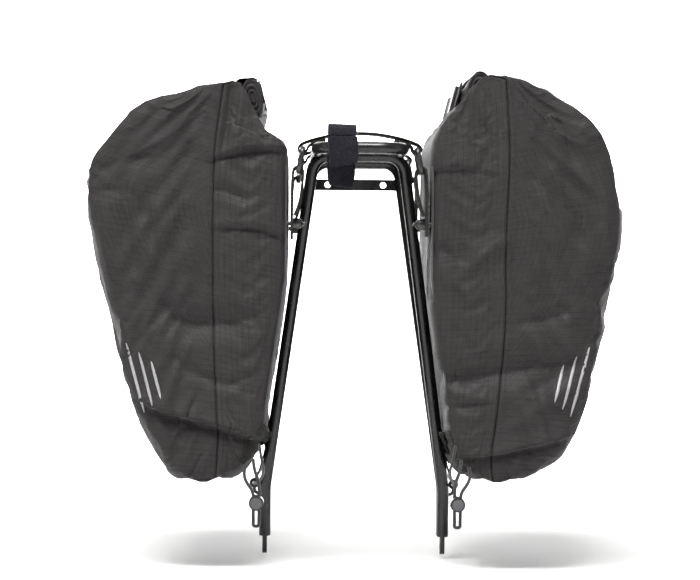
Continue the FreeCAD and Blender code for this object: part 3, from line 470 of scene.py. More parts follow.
def harden(piece):
    """Turns a piece's modifiers into plain mesh."""
    graph = bpy.context.evaluated_depsgraph_get()
    mesh = bpy.data.meshes.new_from_object(piece.evaluated_get(graph))
    piece.modifiers.clear()
    piece.data = mesh


def lay_cloth(piece, places):
    """Stores each point's place on its flat fabric, in metres."""
    grid = piece.data.attributes.new("cloth", "FLOAT_VECTOR", "POINT")
    for index, place in enumerate(places):
        grid.data[index].vector = (*place, 0)


def curved(points, rounds=2):
    """A line through the points with its corners cut, which keeps both of its ends."""
    points = [Vector(p) for p in points]
    for _ in range(rounds):
        cut = [points[0]]
        for a, b in zip(points, points[1:]):
            cut += [a.lerp(b, 0.25), a.lerp(b, 0.75)]
        points = cut + [points[-1]]
    return points


def spread(points, shares):
    """Points at these shares, 0 to 1, of a line's whole length."""
    lengths = [0.0]
    for a, b in zip(points, points[1:]):
        lengths.append(lengths[-1] + (b - a).length)
    found, index = [], 0
    for share in shares:
        goal = share * lengths[-1]
        while index < len(points) - 2 and lengths[index + 1] < goal:
            index += 1
        span = max(lengths[index + 1] - lengths[index], 1e-9)
        found.append(points[index].lerp(points[index + 1], min(1.0, (goal - lengths[index]) / span)))
    return found


def level(points, height):
    """The first coordinate where an upward line passes a height."""
    for a, b in zip(points, points[1:]):
        if b[1] >= height:
            share = (height - a[1]) / max(b[1] - a[1], 1e-9)
            return a[0] + (b[0] - a[0]) * min(1.0, max(0.0, share))
    return points[-1][0]


def ease(low, high, value):
    share = min(1.0, max(0.0, (value - low) / (high - low)))
    return share * share * (3 - 2 * share)


def nearest(path, x, z):
    """Distance and signed height of a point off a line, and its share along the line."""
    best = (1e9, 0.0, 0.0)
    for index, (a, b) in enumerate(zip(path, path[1:])):
        dx, dz = b[0] - a[0], b[1] - a[1]
        square = dx * dx + dz * dz
        share = max(0.0, min(1.0, ((x - a[0]) * dx + (z - a[1]) * dz) / square))
        off_x, off_z = x - a[0] - dx * share, z - a[1] - dz * share
        gap = math.hypot(off_x, off_z)
        if gap < best[0]:
            above = (off_z * dx - off_x * dz) * (1 if dx >= 0 else -1)
            best = (gap, math.copysign(gap, above), (index + share) / (len(path) - 1))
    return best


# ---- bag shells


def ring_section(seam_u, half_width, outer_power, inner_power):
    """Points round one ring as shares of its half width and half length, rear end first."""

    def rounded(share, power):
        return (1 - abs(share) ** power) ** (1 / power)

    edge = 0.93
    start, stop = seam_u + SEAM_OFFSETS[0] / half_width, seam_u + SEAM_OFFSETS[-1] / half_width
    across = [edge + (start - edge) * k / FACE_COLUMNS for k in range(FACE_COLUMNS)]
    across += [seam_u + offset / half_width for offset in SEAM_OFFSETS]
    across += [stop - (edge + stop) * (k + 1) / FACE_COLUMNS for k in range(FACE_COLUMNS)]
    rear = [(u, rounded(u, outer_power if u > 0 else inner_power)) for u in across]
    along = [0.8 - 1.6 * k / (SIDE_COLUMNS - 1) for k in range(SIDE_COLUMNS)]
    inner = [(-rounded(v, inner_power), v) for v in along]
    front = [(u, -v) for u, v in reversed(rear)]
    outer = [(rounded(v, outer_power), -v) for v in along]
    return rear + inner + front + outer


def bag_rings(side):
    """Ring by ring, the points of a bag's surface before its folds, in outboard millimetres."""
    bag = BAGS[side]
    steps = [k / (RINGS - 1) for k in range(RINGS)]
    shares = [0.6 * (0.5 - 0.5 * math.cos(math.pi * k)) + 0.4 * k for k in steps]
    shares = [0.012 + 0.976 * share for share in shares]
    inner = spread(curved(bag["inner"], 1), shares)
    outer = spread(curved(bag["outer"], 1), shares)
    seam = curved(bag["seam"])
    rings = []
    for share, a, b in zip(shares, inner, outer):
        middle, half = (a + b) / 2, (b - a) / 2
        half_width = max(half.length, 1.0)
        seam_u = max(-0.6, min(0.6, (level(seam, middle.y) - middle.x) / half_width))
        if half_width < NARROW:
            seam_u *= half_width / NARROW
        outer_power = 5.5 + 3.0 * ease(0.05, 0.3, share) + 3.5 * ease(0.72, 0.92, share)
        inner_power = 6.0 + 8.0 * ease(0.05, 0.3, share) + 2.0 * ease(0.72, 0.92, share)
        length = BAG_HALF - 9 * (1 - ease(0.0, 0.14, share)) - 4 * ease(0.74, 1.0, share)
        section = ring_section(seam_u, max(half_width, NARROW), outer_power, inner_power)
        ring = []
        for u, v in section:
            at = middle + half * u
            puff = 5.0 * (1 - v * v) * ease(0.72, 0.84, share) * (1 - ease(0.9, 0.99, share))
            lift = Vector((0.35, 1.0)) * puff * max(0.0, u)
            ring.append(Vector((at.x + lift.x, -v * length, at.y + lift.y)))
        rings.append(ring)
    return rings


def roll_frame(side, y):
    """The roll's middle, its upward and outboard directions at a place along the bag."""
    (x, z), tilt = BAGS[side]["roll"]
    share = ease(*ROLL_SWELL, abs(y))
    x = ROLL_MIDDLE[0] + (x - ROLL_MIDDLE[0]) * share
    z = ROLL_MIDDLE[1] + (z - ROLL_MIDDLE[1]) * share
    turn = math.radians(ROLL_TILT + (tilt - ROLL_TILT) * share)
    up = Vector((math.sin(turn), 0, math.cos(turn)))
    return Vector((x, 0, z)), up, Vector((up.z, 0, -up.x))


def clear_of_roll(point, side):
    """Sinks the fabric under the roll, along its whole length."""
    if abs(point.y) > ROLL_END or point.z < 345:
        return point
    centre, up, out = roll_frame(side, point.y)
    fade = 1 - ease(117, ROLL_END, abs(point.y))
    away = (out - up * 0.9).normalized()
    reach = 14 - 4.5 * ease(60, 90, abs(point.y))
    moved = point.copy()
    for _ in range(60):
        off = Vector((moved.x, 0, moved.z)) - centre
        along = max(-9.5, min(9.5, off.dot(up)))
        if (off - up * along).length > reach:
            break
        moved += away * 0.7
    return point.lerp(moved, fade)


def clear_of_rack(point):
    """Keeps the back of the bag between the rack's legs and the stiffener inside the bag."""
    if point.z < 98 or point.x > 90:
        return point
    leg = LEG_FOOT[0] - (point.z - LEG_FOOT[1]) * LEG_SLOPE + LEG_GAP
    near = 1 - ease(62, 92, abs(point.y))
    low = BACK_FACE + max(0.0, leg - BACK_FACE) * near
    sheet = SHEET_FACE + max(0.0, SHEET_BEND - point.z) * SHEET_SLOPE
    point = point.copy()
    if abs(point.y) < 120 and point.z < SHEET_TOP and point.x < sheet + 7:
        point.x = min(point.x, sheet)
    point.x = max(point.x, low)
    return point


def fold_height(kind, across):
    """A fold's height at a distance off its line, both as shares of its width and depth."""
    far = math.sqrt(across * across + 0.01) - 0.1
    if kind == "lap":
        high = 0.55 * math.exp(-0.8 * far) if across > 0 else -0.5 * math.exp(-1.5 * far)
        return high * min(1.0, abs(across) / 0.12)
    shape = math.exp(-1.7 * far) - 0.22 * math.exp(-((far - 1.4) ** 2) * 2.5)
    return shape * (0.62 if kind == "ridge" else -0.62)


def fold_shift(folds, point):
    """How far the creases move a point outwards, in millimetres."""
    shift = 0.0
    for kind, width, depth, path, low, high in folds:
        reach = 2.6 * width
        across = low[0] - reach < point.x < high[0] + reach
        if not (across and low[1] - reach < point.z < high[1] + reach):
            continue
        gap, above, share = nearest(path, point.x, point.z)
        if gap > reach:
            continue
        fade = math.sin(math.pi * min(1.0, max(0.0, 0.1 + 0.8 * share))) ** 0.7
        if share in (0.0, 1.0):
            fade *= math.exp(-((gap / (0.8 * width)) ** 2))
        shift += 1.35 * depth * fade * fold_height(kind, above / width)
    return shift


def crumple(point, seed):
    """Soft random folds everywhere, longer along the bag's height than across it."""
    here = Vector((point.x / 46, point.y / 40, point.z / 66)) + Vector((seed, 0, 0))
    broad = noise.noise(here)
    fine = noise.noise(here * 2.6 + Vector((7, 3, 1)))
    crease = 1 - abs(noise.noise(here * 1.3 + Vector((2, 9, 4)))) * 3.4
    short = 1 - abs(noise.noise(here * 2.9 + Vector((5, 1, 8)))) * 3.2
    end_on = ease(100, 128, abs(point.y))
    sharp = (1.6 - 1.1 * end_on) * max(0.0, crease) ** 2 + 0.5 * max(0.0, short) ** 2
    return (2.2 - 0.9 * end_on) * broad + 0.5 * fine + sharp - 1.0


def bag_shell(side):
    """One bag: rings lofted from the bottom to the roll, settled, then creased and seamed."""
    sign = SIDES[side]
    rings = [[clear_of_roll(clear_of_rack(p), side) for p in ring] for ring in bag_rings(side)]
    faces = tube_faces(RINGS, COLUMNS)
    last = 2 * END_COLUMNS + SIDE_COLUMNS - 1
    for start in (0, (RINGS - 1) * COLUMNS):
        ends = [
            (start + k, start + k + 1, start + last - k - 1, start + last - k)
            for k in range(END_COLUMNS - 1)
        ]
        ends.append(tuple(range(start + END_COLUMNS - 1, start + END_COLUMNS + SIDE_COLUMNS + 1)))
        ends.append(tuple(range(start + last, start + COLUMNS)) + (start,))
        faces += ends if start else [face[::-1] for face in ends]
    verts = [Vector((p.x * sign, p.y, p.z)) * MM for ring in rings for p in ring]
    faces = [tuple(face) if sign < 0 else tuple(face)[::-1] for face in faces]
    piece = new_piece(f"bag_shell_{side}", f"bag_{side}", "bag_fabric", verts, faces)
    cloth_grid(piece, rings)
    settle(piece)
    fold_and_seam(piece, side)
    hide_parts(f"outer_panel_{side}", f"inner_panel_{side}")
    return piece


def cloth_grid(piece, rings):
    """Stores each point's place on the flat cloth, so that the weave follows the folds."""
    grid = piece.data.attributes.new("cloth", "FLOAT_VECTOR", "POINT")
    climb = 0.0
    for row, ring in enumerate(rings):
        if row:
            climb += (ring[REAR_SEAM] - rings[row - 1][REAR_SEAM]).length
        across, run = [0.0] * COLUMNS, 0.0
        for column in range(REAR_SEAM + 1, REAR_SEAM + COLUMNS):
            here, before = column % COLUMNS, (column - 1) % COLUMNS
            run += (ring[here] - ring[before]).length
            across[here] = run
        for column in range(COLUMNS):
            grid.data[row * COLUMNS + column].vector = (across[column] * MM, climb * MM, 0)


def settle(piece):
    """Lets the shell sag as cloth, held by its seams, its back and its mouth."""
    held = piece.vertex_groups.new(name="held")
    rest = [v.co.copy() for v in piece.data.vertices]
    for index, at in enumerate(rest):
        row, column = divmod(index, COLUMNS)
        seam = min(abs(column - REAR_SEAM), abs(column - FRONT_SEAM))
        grip = max(
            0.9 * (1 - ease(3, 12, seam)),
            1 - ease(64, 84, abs(at.x) / MM),
            ease(0.84, 0.95, row / RINGS),
            1 - ease(0.02, 0.08, row / RINGS),
        )
        held.add([index], max(0.15, grip), "REPLACE")
    cloth = modifier(piece, "CLOTH").settings
    cloth.quality = 4
    cloth.mass = 0.2
    cloth.tension_stiffness = 20
    cloth.compression_stiffness = 8
    cloth.shear_stiffness = 8
    cloth.bending_stiffness = 0.4
    cloth.shrink_min = -0.03
    cloth.vertex_group_mass = "held"
    cloth.pin_stiffness = 0.6
    cloth.effector_weights.gravity = 0.3
    scene = bpy.context.scene
    for step in range(1, CLOTH_FRAMES + 1):
        scene.frame_set(step)
    graph = bpy.context.evaluated_depsgraph_get()
    moved = [v.co.copy() for v in piece.evaluated_get(graph).data.vertices]
    piece.modifiers.clear()
    scene.frame_set(1)
    for vertex, start, end in zip(piece.data.vertices, rest, moved):
        shift = end - start
        vertex.co = start + shift * min(1.0, MOST_SAG * MM / max(shift.length, 1e-9))


def fold_and_seam(piece, side):
    """Creases the shell along its normals and works the end seams into it."""
    sign = SIDES[side]
    other = "left" if side == "right" else "right"
    ends = []
    for name in (side, other):
        folds = []
        for kind, width, depth, points in FOLDS[name]:
            path = [tuple(p) for p in curved(points, 2)]
            low = [min(p[axis] for p in path) for axis in (0, 1)]
            high = [max(p[axis] for p in path) for axis in (0, 1)]
            folds.append((kind, width, depth, path, low, high))
        ends.append(folds)
    mesh = piece.data
    normals = [n.vector.copy() for n in mesh.vertex_normals]
    for vertex, normal in zip(mesh.vertices, normals):
        row, column = divmod(vertex.index, COLUMNS)
        point = Vector((vertex.co.x * sign, vertex.co.y, vertex.co.z)) / MM
        edge = ease(0.0, 0.06, row / RINGS) * (1 - ease(0.93, 1.0, row / RINGS))
        back = ease(59.5, 68, point.x)
        rim = ease(96, 122, abs(point.y)) * (1 - ease(126, 130, abs(point.y)))
        shift = crumple(point, 10 * sign) * back * (1 - 0.75 * rim)
        if abs(point.y) < 124:
            shift = min(shift - 0.6, 0.3)
        if abs(point.y) > 45:
            folds = ends[0] if point.y < 0 else ends[1]
            shift += fold_shift(folds, point) * ease(50, 112, abs(point.y)) * ease(58, 64, point.x)
        for seam in (REAR_SEAM, FRONT_SEAM):
            if abs(column - seam) <= len(SEAM_DEPTHS) // 2:
                shift += SEAM_DEPTHS[column - seam + len(SEAM_DEPTHS) // 2]
        vertex.co += normal * (shift * edge * MM)
    for vertex in mesh.vertices:
        point = Vector((vertex.co.x * sign, vertex.co.y, vertex.co.z)) / MM
        point = clear_of_roll(clear_of_rack(point), side)
        vertex.co = Vector((point.x * sign, point.y, point.z)) * MM
    mesh.update()


# ---- stitching and marks


def stitches(name, body, points, normals, pitch, length, radius):
    """A row of thread stitches along a line, each a small spindle lying on the surface."""
    verts, faces = [], []
    travelled, goal = 0.0, pitch
    for a, b, normal in zip(points, points[1:], normals):
        step = (b - a).length / MM
        along = (b - a).normalized()
        while travelled + step >= goal:
            middle = a + along * ((goal - travelled) * MM) + normal * (0.12 * MM)
            side_way = along.cross(normal).normalized()
            start = len(verts)
            for share, thick in ((-0.5, 0.25), (-0.3, 1.0), (0.3, 1.0), (0.5, 0.25)):
                for corner in range(6):
                    turn = math.pi * corner / 3
                    ring = side_way * math.cos(turn) + normal * math.sin(turn)
                    verts.append(middle + along * (share * length * MM) + ring * (radius * thick * MM))
            faces += tube_faces(4, 6, start)
            faces.append(tuple(range(start + 5, start - 1, -1)))
            faces.append(tuple(range(start + 18, start + 24)))
            goal += pitch
        travelled += step
    return new_piece(name, body, "bag_fabric", verts, faces, THREAD)


def seam_stitches(shell, side):
    """The topstitching beside both end seams of a bag."""
    mesh = shell.data
    rows = range(int(0.12 * RINGS), int(0.88 * RINGS))
    for end, seam, way in (("rear", REAR_SEAM, -1), ("front", FRONT_SEAM, 1)):
        chosen = [mesh.vertices[row * COLUMNS + seam + 3 * way] for row in rows]
        points = [v.co.copy() for v in chosen]
        normals = [v.normal.copy() for v in chosen]
        stitches(f"seam_stitches_{end}_{side}", f"bag_{side}", points, normals, 3.6, 2.1, 0.26)


def lay_on(shell, outline_points, way, lift):
    """Drops points onto a shell along a direction and lifts them off it. A miss stays put."""
    graph = bpy.context.evaluated_depsgraph_get()
    surface = shell.evaluated_get(graph)
    found = []
    for point in outline_points:
        hit, at, normal, _ = surface.ray_cast(Vector(point) - Vector(way) * 0.2, Vector(way))
        found.append((at + normal * lift, normal) if hit else (Vector(point), -Vector(way)))
    return found


def reflective_mark(shell, side):
    """Three plain slanted bars of reflective film on the rear end of a bag."""
    sign = SIDES[side]
    verts, faces = [], []
    rows = 15
    for index, length in enumerate((60.0, 46.0, 32.0)):
        low = Vector((178.5 - 7.0 * index, 0, 121 + 6.0 * index))
        rise = Vector((0.26 * length, 0, 0.97 * length))
        start = len(verts)
        for row in range(rows):
            share = row / (rows - 1)
            half = 1.15 * (1 - abs(2 * share - 1) ** 4 * 0.8)
            for way in (-1, 0, 1):
                at = low + rise * share + Vector((half * way, 0, -0.25 * half * way))
                verts.append((at.x * sign * MM, -0.1, at.z * MM))
        faces += grid_faces(rows, 3, start, flip=sign < 0)
    laid = [at for at, _ in lay_on(shell, verts, (0, 1, 0), 0.3 * MM)]
    piece = new_piece(f"reflective_bars_{side}", f"bag_{side}", "reflective_film", laid, faces)
    modifier(piece, "SOLIDIFY", thickness=0.25 * MM, offset=-1)
    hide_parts(f"reflective_mark_{side}")


def corner_patch(shell, side):
    """Webbing sewn across the low inner corner at both ends, with its stitching."""
    sign = SIDES[side]
    high, low = (Vector((x, 0, z)) for x, z in BAGS[side]["patch"])
    along = (high - low).normalized()
    across = Vector((along.z, 0, -along.x)) * 6.5
    for end, way in (("rear", 1), ("front", -1)):
        rows, columns = 16, 7
        grid = []
        for row in range(rows):
            middle = low.lerp(high, row / (rows - 1))
            for column in range(columns):
                at = middle + across * (2 * column / (columns - 1) - 1)
                grid.append((at.x * sign * MM, -0.1 * way, at.z * MM))
        laid = lay_on(shell, grid, (0, way, 0), 1.5 * MM)
        mean = sum((at.y for at, _ in laid), 0.0) / len(laid)
        verts = [Vector((at.x, 0.8 * at.y + 0.2 * mean, at.z)) for at, _ in laid]
        faces = grid_faces(rows, columns, flip=sign * way < 0)
        patch = new_piece(f"corner_webbing_{end}_{side}", f"bag_{side}", "webbing", verts, faces)
        lay_cloth(patch, [(k % columns * 2 * MM, k // columns * 2.2 * MM) for k in range(len(verts))])
        modifier(patch, "SOLIDIFY", thickness=1.6 * MM, offset=0)
        modifier(patch, "BEVEL", width=0.4 * MM, segments=2)
        normal = Vector((0, -way, 0))
        for name, column in (("inner", 1), ("outer", columns - 2)):
            line = [verts[row * columns + column] + normal * (0.85 * MM) for row in range(rows)]
            tag = f"patch_stitches_{name}_{end}_{side}"
            stitches(tag, f"bag_{side}", line, [normal] * rows, 3.0, 2.0, 0.3)
    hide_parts(f"corner_patches_{side}")


# ---- roll closure


def roll_closure(side):
    """The rolled mouth: closed turns of fabric round the stiff strip, with coiled ends."""
    sign = SIDES[side]
    around, rows, caps = 72, 76, 13
    half = 116.0
    verts, places = [], []

    def at(y, turn, share):
        centre, up, out = roll_frame(side, y)
        plump = ease(*ROLL_SWELL, abs(y))
        cosine, sine = math.cos(turn), math.sin(turn)
        thick = 5.2 + 3.4 * plump if cosine > 0 else 5.0 + 4.0 * plump
        across = math.copysign(abs(cosine) ** 0.75, cosine) * thick * share
        rise = math.copysign(abs(sine) ** 0.8, sine) * 16.2 * (0.12 + 0.88 * share)
        lip = 1.3 * math.exp(-(((turn + 0.9) % (2 * math.pi)) / 0.35)) * share
        point = centre + out * across + up * rise
        point += (point - centre).normalized() * lip
        seed = Vector((point.x / 24, y / 26, point.z / 24 + 3 * sign))
        swell = (0.3 + 1.3 * plump) * noise.noise(seed) + 0.5 * plump * noise.noise(seed * 2.7)
        return point + (point - centre).normalized() * swell * share

    def ring(y, share, push):
        for k in range(around):
            turn = 2 * math.pi * k / around
            coil = 1.1 * math.sin(2 * math.pi * (share * 3.4 + k / around)) * (share < 0.99)
            point = at(y, turn, share)
            verts.append(Vector((point.x * sign, y + math.copysign(push + coil, y), point.z)) * MM)
            places.append((y * MM, k * 0.0009))

    for cap in range(caps):
        share = (cap + 0.4) / caps
        ring(-half, share, 2.2 * (1 - share))
    for row in range(rows + 1):
        y = half * (2 * row / rows - 1)
        ring(y, 1.0 - 0.1 * ease(0.97, 1.0, abs(y) / half), 0.0)
    for cap in range(caps):
        share = 1 - (cap + 0.6) / caps
        ring(half, share, 2.2 * (1 - share))
    count = len(verts) // around
    faces = tube_faces(count, around)
    faces.append(tuple(range(around))[::-1])
    faces.append(tuple(range((count - 1) * around, count * around)))
    if sign > 0:
        faces = [face[::-1] for face in faces]
    piece = new_piece(f"roll_{side}", f"roll_{side}", "bag_fabric", verts, faces)
    lay_cloth(piece, places)
    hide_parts(f"roll_closure_{side}")


def collar(side):
    """The fabric that crosses from the bag's mouth into the roll."""
    sign = SIDES[side]
    mouth = Vector((BAGS[side]["inner"][-1][0], 0, BAGS[side]["inner"][-1][1]))
    rows, steps, half = 80, 26, 114.0
    verts, places = [], []
    for row in range(rows + 1):
        y = half * (2 * row / rows - 1)
        centre, up, out = roll_frame(side, y)
        start = clear_of_roll(Vector((mouth.x + 3, y, mouth.z - 2)), side)
        start.y = 0
        crown = centre + up * 17.4
        path = [start - up * 6, start - out * 0.5, start.lerp(crown, 0.5) + up * 1.6 + out * 1.5]
        path += [crown + out * 1.5, crown - out * 3.0 - up * 0.4, crown - out * 5.4 - up * 2.4]
        line = spread(curved(path, 3), [k / steps for k in range(steps + 1)])
        for step, at in enumerate(line):
            pucker = 0.9 * noise.noise(Vector((y / 12, step / 14, 4 * sign)))
            at = at + up * pucker * math.sin(math.pi * step / steps)
            verts.append(Vector((at.x * sign, y, at.z)) * MM)
            places.append((y * MM, step * 0.0012))
    faces = grid_faces(rows + 1, steps + 1, flip=sign < 0)
    piece = new_piece(f"collar_{side}", None, "bag_fabric", verts, faces)
    lay_cloth(piece, places)
    modifier(piece, "SOLIDIFY", thickness=0.9 * MM, offset=0)
    harden(piece)
    start = Vector((mouth.x * sign, 0, mouth.z - 6)) * MM
    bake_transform(piece)
    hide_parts(f"mouth_collar_{side}")


# ---- cords and straps


def cord_route(side):
    """The pull cord's route: the numbers are the outboard place and height in millimetres."""
    points = [
        (93.4, 78.0), (95.0, 71.0), (92.2, 63.5), (86.5, 56.5), (86.4, 44.0), (86.5, 37.0), (86.3, 31.5),
        (86.5, 27.5), (81.5, 27.5), (81.7, 31.5), (81.5, 37.0), (81.6, 44.0), (81.4, 57.0), (82.4, 66.0),
        (86.2, 75.0), (87.0, 84.0),
    ]
    return [Vector((x * SIDES[side], CORD_Y, z)) * MM for x, z in points]


def pull_cord(side):
    route = cord_route(side)
    curve = bpy.data.curves.new(f"pull_cord_line_{side}", "CURVE")
    curve.dimensions = "3D"
    spline = curve.splines.new("NURBS")
    spline.points.add(len(route) - 1)
    for point, at in zip(spline.points, route):
        point.co = (*at, 1)
    spline.order_u = 3
    spline.use_endpoint_u = True
    spline.resolution_u = 12
    curve.bevel_depth = 1.4 * MM
    curve.bevel_resolution = 4
    curve.use_fill_caps = True
    curve.materials.append(MATERIALS["cord"])
    piece = add_object(f"pull_cord_line_{side}", curve)
    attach(piece, f"bag_{side}")
    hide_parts(f"pull_cord_{side}")


def swept(name, body, slot, line, section, across):
    """A closed strip: a section of (across, out) millimetres carried along a line of Vectors."""
    verts, places = [], []
    travelled, size = 0.0, len(section)
    for index, at in enumerate(line):
        along = (line[min(index + 1, len(line) - 1)] - line[max(index - 1, 0)]).normalized()
        side_way = (across - along * across.dot(along)).normalized()
        out = side_way.cross(along)
        if index:
            travelled += (at - line[index - 1]).length
        for wide, thick in section:
            verts.append((at + side_way * wide + out * thick) * MM)
            places.append((wide * MM, travelled * MM))
    faces = tube_faces(len(line), size, flip=True)
    faces.append(tuple(range(size)))
    faces.append(tuple(range(len(verts) - size, len(verts)))[::-1])
    piece = new_piece(name, body, slot, verts, faces)
    lay_cloth(piece, places)
    return piece


def strap(name, body, points, across, width, thick):
    """A flat strap with softened edges along a line through these points."""
    half, deep, edge = width / 2, thick / 2, min(0.5, thick / 3)
    section = [(-half, -deep + edge), (-half + edge, -deep)]
    section += [(half - edge, -deep), (half, -deep + edge)]
    section += [(half, deep - edge), (half - edge, deep)]
    section += [(-half + edge, deep), (-half, deep - edge)]
    return swept(name, body, "webbing", curved(points, 3), section, across)


def tack(name, body, corner, along, across, out, length, width):
    """A box of stitches: two rows across a strap."""
    for index, share in enumerate((0.0, 1.0)):
        start = corner + along * (length * share)
        points = [(start + across * (width * k / 12)) * MM for k in range(13)]
        stitches(f"{name}_{index}", body, points, [out] * 13, 2.4, 1.8, 0.3)


def bridge_straps():
    """Both straps over the deck, looped round the upper bars of the hanger rings."""
    for tag, way in ENDS:
        y = way * HANGER_Y
        half = [(29, 351.4), (38, 349.2), (43.4, 346.4), (44.4, 342.6), (47.2, 339.9), (50.6, 340.8)]
        half += [(52.0, 344.0), (50.0, 347.4), (44, 349.9), (38, 351.9), (30, 353.9), (15, 356.6)]
        left = [Vector((-x, y, z)) for x, z in half]
        right = [Vector((x, y, z)) for x, z in reversed(half)]
        line = left + [Vector((0, y, 357.3))] + right
        piece = strap(f"bridge_webbing_{tag}", "rack", line, ALONG, WIDE_WEBBING, 1.7)
        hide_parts(f"bridge_strap_{tag}")
        for side, sign in SIDES.items():
            slope = Vector((-sign * 0.97, 0, 0.26)).normalized()
            out = Vector((sign * 0.26, 0, 0.97)).normalized()
            corner = Vector((43 * sign, y - 12, 351.1))
            tack(f"bridge_tack_{tag}_{side}", "rack", corner, slope, ALONG, out, 9.0, 24.0)


def hanger_straps(side):
    """The webbing behind each bolt, looped over the lower bar of its ring."""
    sign = SIDES[side]
    path = [(56.9, 271), (56.9, 290), (56.9, 312), (56.2, 321), (55.6, 326.8), (51.6, 328.9)]
    path += [(47.6, 326.4), (47.6, 319), (48.6, 311), (49.4, 303), (51.2, 296), (53.2, 290.5), (54.4, 288)]
    for tag, way in ENDS:
        y = way * HANGER_Y
        line = [Vector((x * sign, y, z)) for x, z in path]
        name = f"hanger_strap_{tag}_{side}"
        strap(name, f"bag_{side}", line, ALONG, WIDE_WEBBING, 2.3)
    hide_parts(f"hanger_webbing_{side}")


def closure_straps(side):
    """Webbing on the rack side of the roll, sewn to each half of the buckle."""
    sign = SIDES[side]
    turn = math.radians(ROLL_TILT)
    up = Vector((math.sin(turn) * sign, 0, math.cos(turn)))
    out = Vector((math.cos(turn) * sign, 0, -math.sin(turn)))
    centre = Vector((ROLL_MIDDLE[0] * sign, 0, ROLL_MIDDLE[1]))
    for name, low, high in (("socket", -114.0, -31.0), ("plug", 10.8, 114.0)):
        points = []
        for k in range(13):
            y = low + (high - low) * k / 12
            ripple = 0.3 * math.sin(k * 1.3) if name == "plug" else 0
            shelf = 6.2 + 3.9 * ease(*ROLL_SWELL, abs(y)) + ripple
            points.append(centre - out * shelf + Vector((0, y, 0)))
        strip = strap(f"{name}_strap_{side}", f"roll_{side}", points, up, CLOSURE_WEBBING, 1.4)
        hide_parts(f"{name}_webbing_{side}")
        if name == "plug":
            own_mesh(strip)


def tube(name, body, slot, points, radius):
    """A round cord along a line, ten sides round."""
    turns = [0.2 * math.pi * k for k in range(10)]
    ring = [(radius * math.cos(turn), radius * math.sin(turn)) for turn in turns]
    return swept(name, body, slot, curved(points, 4), ring, Vector((1, 0, 0.001)))


def lower_strap(side):
    """The elastic cord from corner to corner, and the hook's webbing tab."""
    sign = SIDES[side]
    path = [(82, 133.6, 96), (80.2, 132.6, 84), (77.5, 122.6, 73), (81, 98.6, 63.5), (86.6, 60.6, 58)]
    path += [(87.5, 14, 55), (87.5, 0, 55)]
    for tag, way in ENDS:
        line = [Vector((x * sign, y * way, z)) for x, y, z in path]
        half = tube(f"bungee_{tag}_{side}", None, "cord", line, 1.2)
        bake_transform(half)
        if way < 0:
            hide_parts(f"lower_bungee_{side}")
    drop = ((75.8, 100), (77.5, 88), (81.5, 72), (85.2, 60), (85.6, 58))
    line = [Vector((x * sign, 0, z)) for x, z in drop]
    tab = strap(f"hook_strap_{side}", None, line, ALONG, TAB_WEBBING, 1.3)
    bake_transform(tab)
    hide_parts(f"hook_tab_{side}")


def strap_strip(name, body, slot, line, low_x, high_x, thickness, taper, twist):
    """A strap across X that follows a line in the YZ plane, with softly rounded corners."""
    columns, rows = 14, len(line) - 1
    verts = []
    for row, (y, z) in enumerate(line):
        share = row / rows
        round_off = taper * max(0.0, share - 0.9) * 10
        for column in range(columns + 1):
            across = 2 * column / columns - 1
            x = (low_x + high_x) / 2 + across * ((high_x - low_x) / 2 - round_off)
            lean = twist * share * (x - (low_x + high_x) / 2)
            bow = 0.5 * noise.noise(Vector((x / 9, share * 4, 2)))
            verts.append(Vector((x + twist * share * 8, y - bow, z + lean)) * MM)
    piece = new_piece(name, body, slot, verts, grid_faces(rows + 1, columns + 1))
    modifier(piece, "SOLIDIFY", thickness=thickness * MM, offset=0)
    modifier(piece, "SUBSURF", levels=2, render_levels=2)
    texture = bpy.data.textures.new(f"{name}_pile", "CLOUDS")
    texture.noise_scale = 0.0016
    modifier(
        piece, "DISPLACE", texture=texture, strength=0.5 * MM, mid_level=0.5, texture_coords="LOCAL",
    )
    return piece


def anchor_strap():
    """The hook-and-loop strap round the rear deck tube, and its peeling front tab."""
    low, high = (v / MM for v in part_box("anchor_strap"))
    tab_low, tab_high = (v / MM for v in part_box("anchor_strap_tab"))
    near_y = (tab_low.y + tab_high.y) / 2
    far_y = high.y - 1.1
    radius = (far_y - near_y) / 2
    middle_y, middle_z = (far_y + near_y) / 2, high.z - radius
    turns = [math.pi * k / 14 for k in range(15)]
    top_z = middle_z + 1.6
    bend = [(middle_y - radius * math.cos(turn), top_z + radius * math.sin(turn)) for turn in turns]
    fall = middle_z - low.z
    tail = [(far_y + 0.4 * math.sin(k), middle_z + 1 - k * fall / 10) for k in range(1, 11)]
    slot = "hook_and_loop"
    back = strap_strip("anchor_strap_band", "rack", slot, bend + tail, -27.2, -3.4, 2.4, 2.0, -0.1)
    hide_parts("anchor_strap")
    drop = middle_z - tab_low.z + 1
    front = [(near_y - 0.6 * math.sin(k / 3), middle_z + 1.3 - k * drop / 12) for k in range(13)]
    tab = strap_strip("anchor_tab_strip", "anchor_tab", slot, front, -27.6, -2.8, 2.4, 2.5, 0.2)
    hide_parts("anchor_strap_tab")


# ---- stage, light and camera


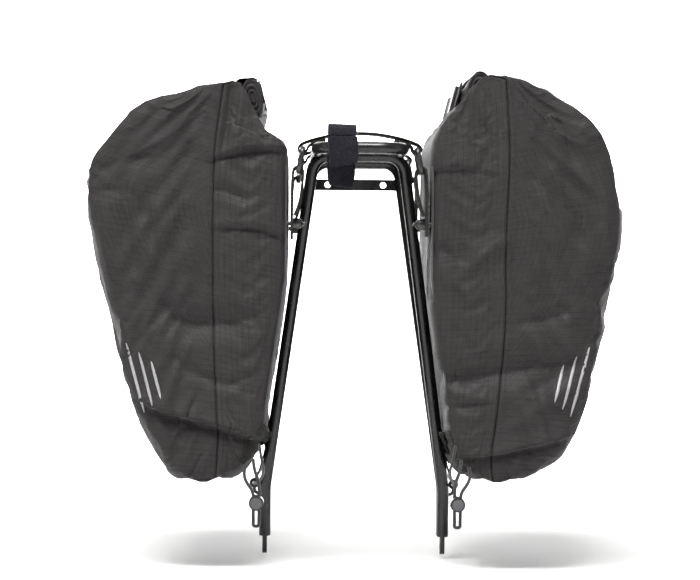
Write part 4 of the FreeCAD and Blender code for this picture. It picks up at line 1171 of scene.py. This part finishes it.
def stage():
    """A pale floor that curves up into a wall behind the object."""
    low_z = CAD_BOX[0][2] - 0.004
    front, bend_y, radius, height = -4.5, 3.2, 1.2, 4.5
    line = [(front, low_z), (bend_y, low_z)]
    for k in range(1, 17):
        turn = math.pi / 2 * k / 16
        line.append((bend_y + radius * math.sin(turn), low_z + radius * (1 - math.cos(turn))))
    line.append((bend_y + radius, height))
    verts = [(x, y, z) for y, z in line for x in (-5.0, 5.0)]
    mesh = bpy.data.meshes.new("backdrop")
    mesh.from_pydata(verts, [], grid_faces(len(line), 2))
    for face in mesh.polygons:
        face.use_smooth = True
    backdrop = add_object("backdrop", mesh)
    mesh.materials.append(Shader("pale_paper", (0.93, 0.93, 0.925), 0.9).material)


def area_light(name, at, target, size, power):
    light = bpy.data.lights.new(name, "AREA")
    light.shape = "RECTANGLE"
    light.size, light.size_y = size
    light.energy = power
    lamp = add_object(name, light)
    lamp.location = at
    lamp.rotation_euler = (Vector(target) - Vector(at)).to_track_quat("-Z", "Y").to_euler()


def lights():
    world = bpy.data.worlds.new("studio")
    world.use_nodes = True
    tree = world.node_tree
    place = tree.nodes.new("ShaderNodeTexCoord")
    parts = tree.nodes.new("ShaderNodeSeparateXYZ")
    ramp = tree.nodes.new("ShaderNodeMapRange")
    for label, value in (("From Min", -0.3), ("From Max", 1.0), ("To Min", 0.03), ("To Max", 0.42)):
        ramp.inputs[label].default_value = value
    tree.links.new(place.outputs["Generated"], parts.inputs[0])
    tree.links.new(parts.outputs["Z"], ramp.inputs["Value"])
    tree.nodes["Background"].inputs[0].default_value = (1, 1, 1, 1)
    tree.links.new(ramp.outputs[0], tree.nodes["Background"].inputs[1])
    bpy.context.scene.world = world
    area_light("top_front", (-0.25, -1.0, 2.2), (0, 0, 0.2), (1.3, 0.9), 95)
    area_light("left_box", (-2.1, -0.9, 1.3), (0, 0, 0.25), (0.8, 1.2), 4)
    area_light("right_box", (2.2, -0.7, 1.1), (0, 0, 0.25), (0.8, 1.2), 3)
    area_light("back_glow", (0.0, 2.5, 2.2), (0, 4.4, 0.4), (4.0, 1.4), 420)
    bpy.context.scene.view_settings.view_transform = "Standard"


def camera():
    distance, height, frame_width = 2.6, 0.2253, 0.616
    yaw, roll = 0.018, 0.0097
    lens = bpy.data.cameras.new("camera")
    lens.sensor_width = 36
    lens.lens = 36 * distance / frame_width
    lens.clip_end = 20
    eye = add_object("camera", lens)
    eye.location = (-distance * math.sin(yaw) - 0.0051, -distance * math.cos(yaw), height)
    eye.rotation_euler = (math.pi / 2, -roll, -yaw)
    bpy.context.scene.camera = eye


def main():
    camera()
    for side in SIDES:
        pull_cord(side)
    dress_nodes()
    for side in SIDES:
        shell = bag_shell(side)
        seam_stitches(shell, side)
        reflective_mark(shell, side)
        corner_patch(shell, side)
        roll_closure(side)
        collar(side)
        hanger_straps(side)
        closure_straps(side)
        lower_strap(side)
    bridge_straps()
    anchor_strap()
    stage()
    lights()


main()
